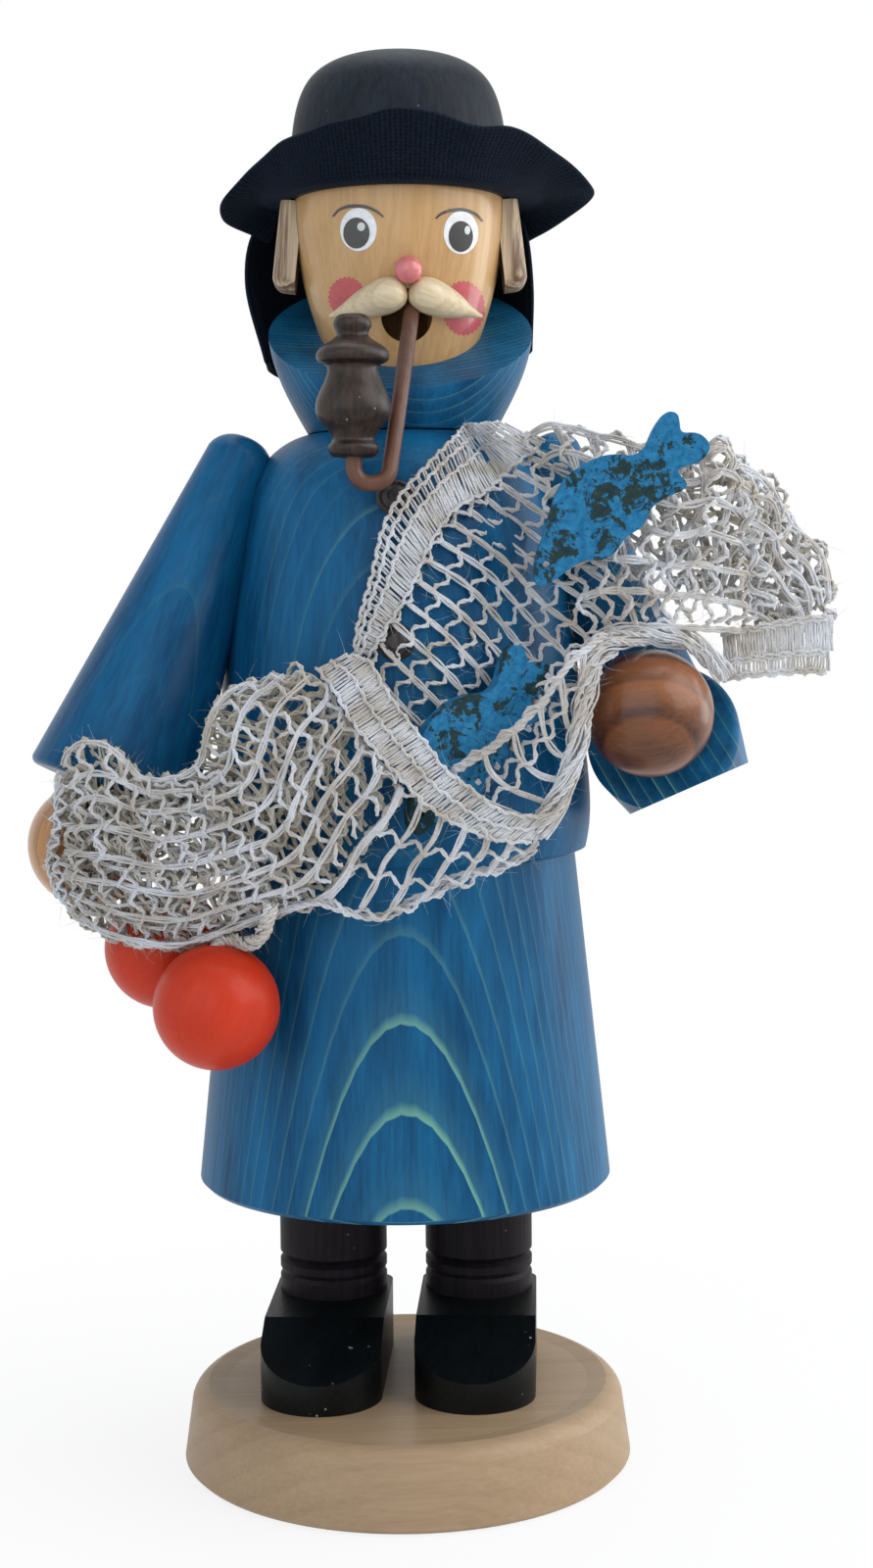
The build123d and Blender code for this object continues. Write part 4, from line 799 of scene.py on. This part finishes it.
# The folded lower edge, and the strand round the left hand
low_edge = spline(rows_at([[
    (548, 866, -38), (520, 881, -36.5), (455, 905, -36.5), (410, 928, -36), (385, 937, -36),
    (355, 934, -36), (325, 922, -36), (290, 930, -34.5), (240, 947, -33), (190, 967, -31.5),
    (140, 963, -30), (95, 948, -28), (64, 922, -26), (50, 893, -25), (56, 850, -27), (59, 812, -28),
    (60, 792, -28),
]])[0], 330)
for shift, phase in ((0.0, 0.0), (0.0006, 2.0)):
    drift = np.stack([smooth_noise(rng, len(low_edge), 12) for _ in range(3)], axis=1) * 0.0005
    net.ply(low_edge + drift + np.array([0, shift, shift]), WARP, phase=phase)
    net.hairs(low_edge + drift, rng, HAIR_ON_EDGE)

# The roll over the right hand
roll_rows = rows_at([[
    (742, 690, -26), (722, 668, -27.5), (697, 652, -28.5), (662, 647, -29.5), (630, 654, -31),
    (608, 672, -33), (599, 700, -35.5), (592, 740, -37.5), (582, 785, -38.5), (566, 822, -39),
    (548, 850, -39.5),
]])[0]
roll = spline(roll_rows, 150)
roll_n, roll_b = frames(roll)
run = even_run(roll)
for k in range(ROLL_YARNS):
    turn = TURN * (run / ROLL_PITCH + k / ROLL_YARNS) + 0.6 * smooth_noise(rng, len(roll), 14)
    wide = ROLL_RADIUS * (1 + 0.3 * smooth_noise(rng, len(roll), 10))
    line = wound(roll, roll_n, roll_b, turn, wide)
    if k % 2:
        net.ply(line, WARP, phase=k)
    else:
        net.strands(line, WEFT, 0.0004, 3, 0, rng)
    net.hairs(line, rng, HAIR_ON_EDGE)
flat_area += length_of(roll) * TURN * ROLL_RADIUS

# The heap over the bent arm
heap_rows = [
    [(540, 446, -19), (567, 432, -21), (601, 443, -23), (654, 455, -24.5), (700, 470, -25), (736, 455, -24),
     (755, 475, -20), (790, 500, -13.5), (806, 535, -13), (835, 560, -13), (845, 595, -13.5),
     (848, 626, -14)],
    [(548, 480, -23), (585, 470, -26), (622, 480, -28), (665, 490, -29.3), (710, 500, -29), (745, 500, -27),
     (772, 520, -21), (797, 545, -16), (817, 570, -15), (832, 595, -15), (840, 618, -15), (843, 632, -15)],
    [(565, 530, -27), (600, 520, -29.5), (640, 522, -30.4), (680, 532, -30.4), (715, 542, -29),
     (745, 552, -25.5), (770, 566, -21.5), (790, 585, -19), (806, 600, -18), (818, 615, -17),
     (824, 628, -16), (826, 638, -16)],
    [(592, 600, -29.5), (620, 590, -30.2), (650, 586, -30.2), (680, 590, -29.5), (710, 596, -28),
     (735, 602, -26.5), (755, 610, -24), (770, 618, -22), (782, 626, -20), (790, 632, -19), (797, 638, -18),
     (802, 641, -17)],
    [(606, 652, -29), (628, 642, -29), (652, 640, -29.5), (676, 640, -29.5), (700, 642, -29),
     (716, 643, -28), (730, 644, -26), (745, 644, -24), (755, 644, -22), (765, 643, -20), (774, 643, -19),
     (782, 643, -18)],
]
heap = Cloth(rows_at(heap_rows), crumple=0.0011, seed=21)
flat_area += weave(net, heap, rng, wave=0.001, cell=CELL * 1.1, thick=1.15)
# The middle one of these layers takes the beiger yarn: painted shade for net that lies behind other net
for k, (by, seed, flip) in enumerate(((2.4, 22, False), (4.6, 23, True), (6.4, 24, False))):
    deeper = [[(x, y, z + by * 0.7) for x, y, z in row[3 if k else 1:]] for row in heap_rows[:-1]]
    layer = Cloth(rows_at(deeper), crumple=0.0013, seed=seed)
    flat_area += weave(net, layer, rng, mat=k % 2, wavy_along_v=flip, cell=CELL * (1.1 + 0.1 * k),
                       wave=0.0012, thick=1.15, sides=4, hair=k == 0)

# The free hem at the right
hem_c = Cloth(rows_at([
    [(735, 642, -22), (760, 640, -22), (790, 634, -21.5), (820, 629, -21), (848, 627, -20.5)],
    [(737, 665, -22.5), (762, 664, -22.5), (792, 660, -22), (821, 657, -21.5), (848, 656, -21)],
    [(740, 694, -23), (763, 690, -23), (793, 688, -22.5), (821, 686, -22), (847, 687, -21.5)],
]), crumple=0.0002, seed=5)
flat_area += hem_band(net, hem_c, rng, rails=(0.06, 0.66, 0.97), dense=((0.0, 0.64), (0.0, 0.64)),
                      step=0.0009, paired=True)

# The cloth keeps out of the room that each float ball takes as it swings
FLOAT_RADIUS = 10.15
FLOAT_HANG = 11.1
FLOAT_SWINGS = (((-29.8, -31.6, 95.3), (-0.728, 0.686), (-5, 0, 5, 10, 15)),
                ((-39.6, -13.2, 103.3), (0.949, 0.316), (-4, 0, 5, 9, 14)))
for pivot, (axis_x, axis_y), angles in FLOAT_SWINGS:
    for angle in np.radians(angles + angles):
        out = FLOAT_HANG * math.sin(angle)
        centre = np.array([pivot[0] - axis_y * out, pivot[1] + axis_x * out,
                           pivot[2] - FLOAT_HANG * math.cos(angle)]) * MM
        for patch in net.verts:
            away = patch - centre
            reach = np.linalg.norm(away, axis=1, keepdims=True)
            near = reach < FLOAT_RADIUS * MM
            patch += np.where(near, away * (FLOAT_RADIUS * MM / np.maximum(reach, 1e-9) - 1), 0)

net_piece = net.piece("net", ["yarn", "yarn_beige_and_shaded"])
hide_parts(*[n for n in nodes if n.startswith("net_")])
side = math.sqrt(flat_area / SHEET_RATIO)


# Hat cloth: the brim, turned up at the front, and the flap that hangs over the neck
HAT = np.array([0.5, 0.0, 215.0])
CLOTH_HALF = 0.44
# Turn from the front in degrees, then radius and height of the brim's middle and edge in mm
BRIM = [
    (-116, 22.0, -1.2, 24.9, -4.9), (-112, 22.3, -0.7, 25.7, -4.0), (-104, 23.2, -0.2, 28.0, -3.2),
    (-97, 23.8, 0.3, 29.9, -2.2), (-89, 23.8, 0.8, 29.9, 0.2), (-80, 23.1, 1.3, 26.8, 2.3),
    (-70, 22.0, 2.0, 24.3, 5.1), (-58, 21.4, 2.9, 23.2, 7.2), (-45, 21.4, 3.4, 23.1, 7.8),
    (-33, 21.6, 3.6, 23.3, 8.3), (-16, 22.0, 3.9, 24.0, 9.5), (-4, 22.1, 4.1, 24.3, 10.3),
    (10, 22.1, 4.1, 24.6, 10.2), (17, 22.1, 3.8, 25.0, 9.4), (24, 22.1, 3.4, 25.4, 8.1),
    (31, 22.1, 3.1, 25.7, 7.9), (40, 22.1, 2.9, 26.2, 8.4), (56, 22.7, 2.6, 27.1, 7.1),
    (70, 23.8, 2.1, 29.0, 4.8), (82, 25.1, 1.6, 32.0, 1.8), (89, 25.3, 1.0, 32.7, 1.1),
    (95, 24.9, 0.5, 31.4, -0.2), (103, 24.0, -0.5, 28.2, -2.1), (114, 22.3, -1.2, 25.1, -4.1),
    (118, 21.9, -1.6, 24.4, -5.0),
]
# The flap: turn, then radius and height of its shoulder, middle and hem in mm
FLAP = [
    (111, 22.1, -2.9, 23.4, -12.6, 23.0, -23.9), (117, 22.7, -2.9, 24.0, -12.8, 23.6, -24.5),
    (135, 23.4, -2.9, 24.9, -14.2, 24.9, -27.1), (158, 24.2, -2.9, 25.7, -14.2, 26.0, -28.5),
    (180, 24.6, -2.9, 26.4, -14.2, 26.8, -28.5), (202, 24.9, -2.9, 27.2, -14.2, 27.2, -28.5),
    (225, 25.7, -2.9, 27.9, -14.2, 26.4, -27.9), (244, 26.4, -2.9, 28.1, -12.8, 24.7, -26.2),
    (250, 25.6, -3.1, 27.4, -12.4, 24.0, -25.4),
]


def smoothed(table, turns, blur):
    """Each column of a station table at every turn, with its corners rounded off."""
    table = np.array(table, float)
    step = turns[1] - turns[0]
    reach = max(int(3 * blur / step), 1)
    kernel = np.exp(-0.5 * (np.arange(-reach, reach + 1) * step / blur) ** 2)
    kernel /= kernel.sum()
    before, after = step * np.arange(-reach, 0), step * np.arange(1, reach + 1)
    wide = np.concatenate([turns[0] + before, turns, turns[-1] + after])
    columns = []
    for k in range(1, table.shape[1]):
        first = (table[1, k] - table[0, k]) / (table[1, 0] - table[0, 0])
        last = (table[-1, k] - table[-2, k]) / (table[-1, 0] - table[-2, 0])
        value = np.interp(wide, table[:, 0], table[:, k])
        value += np.minimum(wide - table[0, 0], 0) * first + np.maximum(wide - table[-1, 0], 0) * last
        columns.append(np.convolve(value, kernel, "valid"))
    return np.array(columns)


def cloth_shell(name, grid, half=CLOTH_HALF):
    """A closed sheet of cloth with round rims, about a grid of points in mm.

    The grid's rows run from the seam to the edge. Gives the piece, its area and its flat size, in metres.
    """
    rows, columns = grid.shape[:2]
    du, dv = np.gradient(grid, axis=1), np.gradient(grid, axis=0)
    n = np.cross(du, dv)
    n /= np.linalg.norm(n, axis=2, keepdims=True)
    out = dv / np.linalg.norm(dv, axis=2, keepdims=True)
    side = du / np.linalg.norm(du, axis=2, keepdims=True)
    core = np.array([grid[0], *grid, grid[-1], *grid[::-1]])
    shell = [grid[0] - out[0] * half, *(grid + n * half),
             grid[-1] + out[-1] * half, *(grid - n * half)[::-1]]
    ring, sides = np.array(shell), np.array([side[0], *side, side[-1], *side[::-1]])
    first = core[:, 0] * 0.65 + ring[:, 0] * 0.35 - sides[:, 0] * half
    last = core[:, -1] * 0.65 + ring[:, -1] * 0.35 + sides[:, -1] * half
    ring = np.concatenate([first[:, None], ring, last[:, None]], axis=1)
    around, faces = len(ring), []
    columns += 2
    for i in range(around):
        j = (i + 1) % around
        for k in range(columns - 1):
            faces.append((i * columns + k, i * columns + k + 1, j * columns + k + 1, j * columns + k))
    faces.append([i * columns for i in range(around)])
    faces.append([i * columns + columns - 1 for i in range(around)][::-1])
    obj = new_piece(name, ring.reshape(-1, 3) * MM, faces, ["cloth"])
    run = run_of(grid[:, columns // 2])
    across = np.concatenate([[0], run, [run[-1] + half], run[::-1]])
    width = np.linalg.norm(np.diff(grid[rows // 2], axis=0), axis=1)
    along = np.concatenate([[-half], [0], np.cumsum(width), [width.sum() + half]])
    layer = obj.data.uv_layers.new(name="cut")
    for loop in obj.data.loops:
        i, k = divmod(loop.vertex_index, columns)
        layer.data[loop.index].uv = (along[k] * MM, across[i] * MM)
    gu, gv = np.diff(grid, axis=1)[:-1], np.diff(grid, axis=0)[:, :-1]
    area = float(np.linalg.norm(np.cross(gu, gv), axis=2).sum()) * MM * MM
    return obj, area, (float(width.sum()) * MM, float(run[-1]) * MM)


def round_hat(turns, r, z):
    """Points about the hat's axis, in mm, from rows of radius and height."""
    a = np.radians(turns)
    return HAT + np.stack([r * np.sin(a), -r * np.cos(a), z], axis=-1)


def through(points, share):
    """A smooth curve through four rows of values, at a share of the way from the first to the last."""
    place = min(share * 3, 2.999)
    k, t = int(place), place - int(place)
    ends = [2 * points[0] - points[1]] + list(points) + [2 * points[-1] - points[-2]]
    return catmull(*ends[k:k + 4], t)


turns = np.arange(-115, 117.01, 1.0)
mid_r, mid_z, edge_r, edge_z = smoothed(BRIM, turns, 2.6)
front = np.clip(np.cos(np.radians(turns)) + 0.3, 0, 1)
rows = []
for share in np.linspace(0, 1, 17):
    seam_r, seam_z = np.full_like(turns, 18.85), np.full_like(turns, 0.35)
    low_r, low_z = 21.3 + (mid_r - 21.6) * 0.4, 0.35 + mid_z * 0.22 - 0.15 * front
    r = through([seam_r, low_r, mid_r + 0.25, edge_r], share)
    z = through([seam_z, low_z, mid_z + 0.25, edge_z], share)
    wave = 0.12 * share * (np.sin(np.radians(turns) * 9 + 1.0) + np.sin(np.radians(turns) * 14.3 + 2.2))
    rows.append(round_hat(turns, r, z + wave))
brim, brim_area, brim_cut = cloth_shell("brim", np.array(rows))
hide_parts("hat_brim")

turns = np.arange(111, 250.01, 1.0)
shoulder_r, shoulder_z, mid_r, mid_z, hem_r, hem_z = smoothed(FLAP, turns, 4.0)
rows = []
for share in np.linspace(0, 1, 25):
    seam_r, seam_z = np.full_like(turns, 18.4), np.full_like(turns, 0.7)
    r = through([seam_r, shoulder_r, mid_r, hem_r], share)
    z = through([seam_z, shoulder_z, mid_z, hem_z], share)
    angle = np.radians(turns)
    wave = 0.30 * share * (1 + np.sin(angle * 11 + 0.6)) + 0.15 * share * np.sin(angle * 23)
    rows.append(round_hat(turns, r + 0.6 + wave, z))
flap, flap_area, flap_cut = cloth_shell("flap", np.array(rows))
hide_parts("neck_flap")

# The yarn that ties each float to the net
tie_rng = np.random.default_rng(5)


def tie_bundle(name, points, yarns, wide, pitch, body, node):
    """A twisted bundle of net yarns that comes out of a float's bore."""
    tie = Tubes()
    line = spline(np.array(points) * MM, 70)
    n, b = frames(line)
    run = even_run(line)
    for k in range(yarns):
        turn = TURN * (run / pitch + k / yarns) + 0.5 * smooth_noise(tie_rng, len(line), 16)
        out = wide * (1 if k else 0.1) * (1 + 0.25 * smooth_noise(tie_rng, len(line), 12))
        strand = wound(line, n, b, turn, out)
        # Every other strand, the core among them, takes the beiger yarn as a second yarn tone
        tie.ply(strand, WARP * 1.1, pitch=0.0024, phase=k, mat=k % 2)
        tie.hairs(strand, tie_rng, HAIR_ON_WEFT, k % 2)
    piece = tie.piece(name, ["yarn_beige_and_shaded", "yarn"], body)
    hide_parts(node)


tie_bundle("tie_front", [
    (-29.8, -31.6, 91.5), (-29.2, -31.0, 94.2), (-26.8, -31.6, 94.9), (-24.4, -33.6, 94.6),
    (-22.6, -35.0, 95.6), (-21.4, -35.8, 98.0), (-20.8, -36.2, 101.2),
], 7, 0.00085, 0.009, "float_front", "float_tie_front")
tie_bundle("tie_back", [
    (-39.6, -13.2, 98.0), (-39.6, -13.2, 100.2), (-39.4, -13.5, 102.2), (-39.0, -14.0, 104.0),
], 5, 0.00065, 0.008, "float_back", "float_tie_back")


# The painted face: thin coats of paint on the head, laid on along the line of sight
head_tree = BVHTree.FromObject(nodes["head"], bpy.context.evaluated_depsgraph_get())
PAINT = {
    "eye_white": (236, 238, 240), "eye_dark": (26, 28, 24), "eye_spark": (214, 220, 216),
    "brow": (14, 14, 16), "cheek": (192, 72, 78),
}
for key, colour in PAINT.items():
    coat = Shader("paint_" + key, Roughness=0.35)
    tone = coat.noise(scale=900.0, detail=3.0)
    base = srgb(*colour)
    coat.set(Base_Color=coat.mix(coat.span(tone, 0.35, 0.65), darker(base, 0.82), base), Coat_Weight=0.4)
    coat.bump(tone, 0.05, 0.0001)
    mats[key] = coat.mat


# How far each coat lies off the wood, so that the later ones lie on the earlier ones
LIFT = {"cheek": 0.00004, "eye_white": 0.00005, "eye_dark": 0.00009, "eye_spark": 0.00013, "brow": 0.00014}


def on_head(px, py, lift):
    hit, normal, _, _ = head_tree.ray_cast(EYE, pixel_ray(px, py))
    return hit + normal * lift


def painted_disc(name, centre, radii, key, outline=None, turns=48, lean=0.0):
    """A filled spot of paint; outline gives the radius factor for each angle."""
    rings, lift = 7, LIFT[key]
    verts, faces = [on_head(*centre, lift)], []
    cl, sl = math.cos(lean), math.sin(lean)
    for r in range(1, rings + 1):
        for k in range(turns):
            a = TURN * k / turns
            grow = outline(a) if outline else 1.0
            x = radii[0] * math.cos(a) * grow * r / rings
            y = radii[1] * math.sin(a) * grow * r / rings
            verts.append(on_head(centre[0] + x * cl - y * sl, centre[1] + x * sl + y * cl, lift))
    for k in range(turns):
        faces.append((0, 1 + (k + 1) % turns, 1 + k))
    for r in range(rings - 1):
        a, b = 1 + r * turns, 1 + (r + 1) * turns
        for k in range(turns):
            k2 = (k + 1) % turns
            faces.append((a + k, a + k2, b + k2, b + k))
    spot = new_piece(name, verts, faces, [key])


def painted_arc(name, points, width, key):
    """A brush stroke that tapers at its ends."""
    line = spline([(x, y, 0) for x, y in points], 40)
    t = tangents(line)
    verts, faces = [], []
    for k, (p, d) in enumerate(zip(line, t)):
        share = k / (len(line) - 1)
        half = width * 0.5 * (0.45 + 0.55 * math.sin(math.pi * share))
        for s in (-1, 0, 1):
            verts.append(on_head(p[0] - d[1] * half * s, p[1] + d[0] * half * s, LIFT[key]))
    for k in range(len(line) - 1):
        for s in (0, 1):
            a = k * 3 + s
            faces.append((a, a + 1, a + 4, a + 3))
    stroke = new_piece(name, verts, faces, [key])


# Side and lean, then centre and radii of the white, the dark and the spark, in pixels of the photograph
EYES = (
    ("left", 0.03, (365.9, 234.2), (18.6, 22.0), (364.0, 237.8), (13.4, 15.8), (368.9, 231.3), (3.9, 4.4)),
    ("right", 0.0, (470.4, 237.4), (17.7, 21.9), (470.0, 241.3), (12.4, 15.8), (476.6, 234.9), (2.9, 4.4)),
)
for side, lean, white, white_size, dark, dark_size, spark, spark_size in EYES:
    painted_disc("eye_white_" + side, white, white_size, "eye_white", lean=lean)
    painted_disc("eye_dark_" + side, dark, dark_size, "eye_dark")
    painted_disc("eye_spark_" + side, spark, spark_size, "eye_spark")
painted_arc("brow_left", [
    (339.9, 221.0), (346, 214.5), (354, 211.2), (364, 210.2), (375, 211.6), (384, 215.6),
    (391.6, 221.6),
], 3.3, "brow")
painted_arc("brow_right", [
    (444.6, 223.0), (451, 217.8), (460, 214.8), (470, 214.0), (479, 215.6), (486.5, 219.6),
    (492.4, 226.0),
], 3.3, "brow")


def scallops(count, depth):
    return lambda a: 1 + depth * (abs(math.cos(a * count / 2)) - 0.6)


painted_disc("cheek_left", (354.0, 303.0), (18.5, 20.0), "cheek", scallops(26, 0.10), turns=104)
painted_disc("cheek_right", (473.0, 314.5), (21.5, 27.5), "cheek", scallops(28, 0.08), turns=112)


# Light, floor and background
MIDDLE = Vector((0, 0, 0.12))
# Place, size, power and colour
LAMPS = {
    "key": ((0.55, -0.25, 0.50), (0.6, 0.6), 3.4, (1.0, 0.98, 0.95)),
    "front_fill": ((-0.25, -0.75, 0.45), (0.8, 0.8), 2.2, (0.94, 0.97, 1.0)),
    "side": ((0.70, 0.22, 0.22), (0.3, 0.6), 1.9, (0.96, 0.98, 1.0)),
    "left_fill": ((-0.70, -0.35, 0.25), (0.6, 0.6), 0.7, (0.86, 0.93, 1.0)),
    "top": ((0.05, 0.1, 0.75), (0.5, 0.5), 1.7, (0.95, 0.97, 1.0)),
}
for name, (place, size, power, colour) in LAMPS.items():
    lamp = bpy.data.lights.new(name, "AREA")
    lamp.shape = "RECTANGLE"
    lamp.size, lamp.size_y = size
    lamp.energy, lamp.color = power, colour
    obj = bpy.data.objects.new(name, lamp)
    obj.location = place
    obj.rotation_euler = (MIDDLE - Vector(place)).to_track_quat("-Z", "Y").to_euler()
    bpy.context.scene.collection.objects.link(obj)

world = bpy.data.worlds.new("studio")
bpy.context.scene.world = world
world.use_nodes = True
sky = Nodes(world.node_tree)
fill = sky.node("ShaderNodeBackground", ((0.80, 0.88, 1.0, 1), 0.30))
seen = sky.node("ShaderNodeBackground", ((1, 1, 1, 1), 1.0))
switch = sky.node("ShaderNodeMixShader", (sky.shown_rays(), fill, seen))
sky.node("ShaderNodeOutputWorld", (switch,))
bpy.context.scene.view_settings.view_transform = "Standard"

# The floor glows white for the rays that show the background, but for the shadow under the figure
FLOOR_HALF = 3.0
corners = [(x * FLOOR_HALF, y * FLOOR_HALF, 0) for x, y in ((-1, -1), (1, -1), (1, 1), (-1, 1))]
floor_mesh = bpy.data.meshes.new("floor")
floor_mesh.from_pydata(corners, [], [(0, 1, 2, 3)])
floor = bpy.data.objects.new("floor", floor_mesh)
floor.location.z = -0.0002
bpy.context.scene.collection.objects.link(floor)
pale = Shader("floor_pale", Roughness=0.9)
pale.set(Base_Color=pale.mix(pale.noise(scale=8.0), srgb(246, 246, 247), srgb(252, 252, 252)))
glow = pale.node("ShaderNodeEmission")
away = pale.v("LENGTH", pale.stretch((1, 1, 0)))
share = pale.mul(pale.span(away, 0.03, 0.16, 0.82, 1.0), pale.shown_rays())
pale.surface(pale.node("ShaderNodeMixShader", (share, pale.bsdf.outputs[0], glow)))
floor_mesh.materials.append(pale.mat)
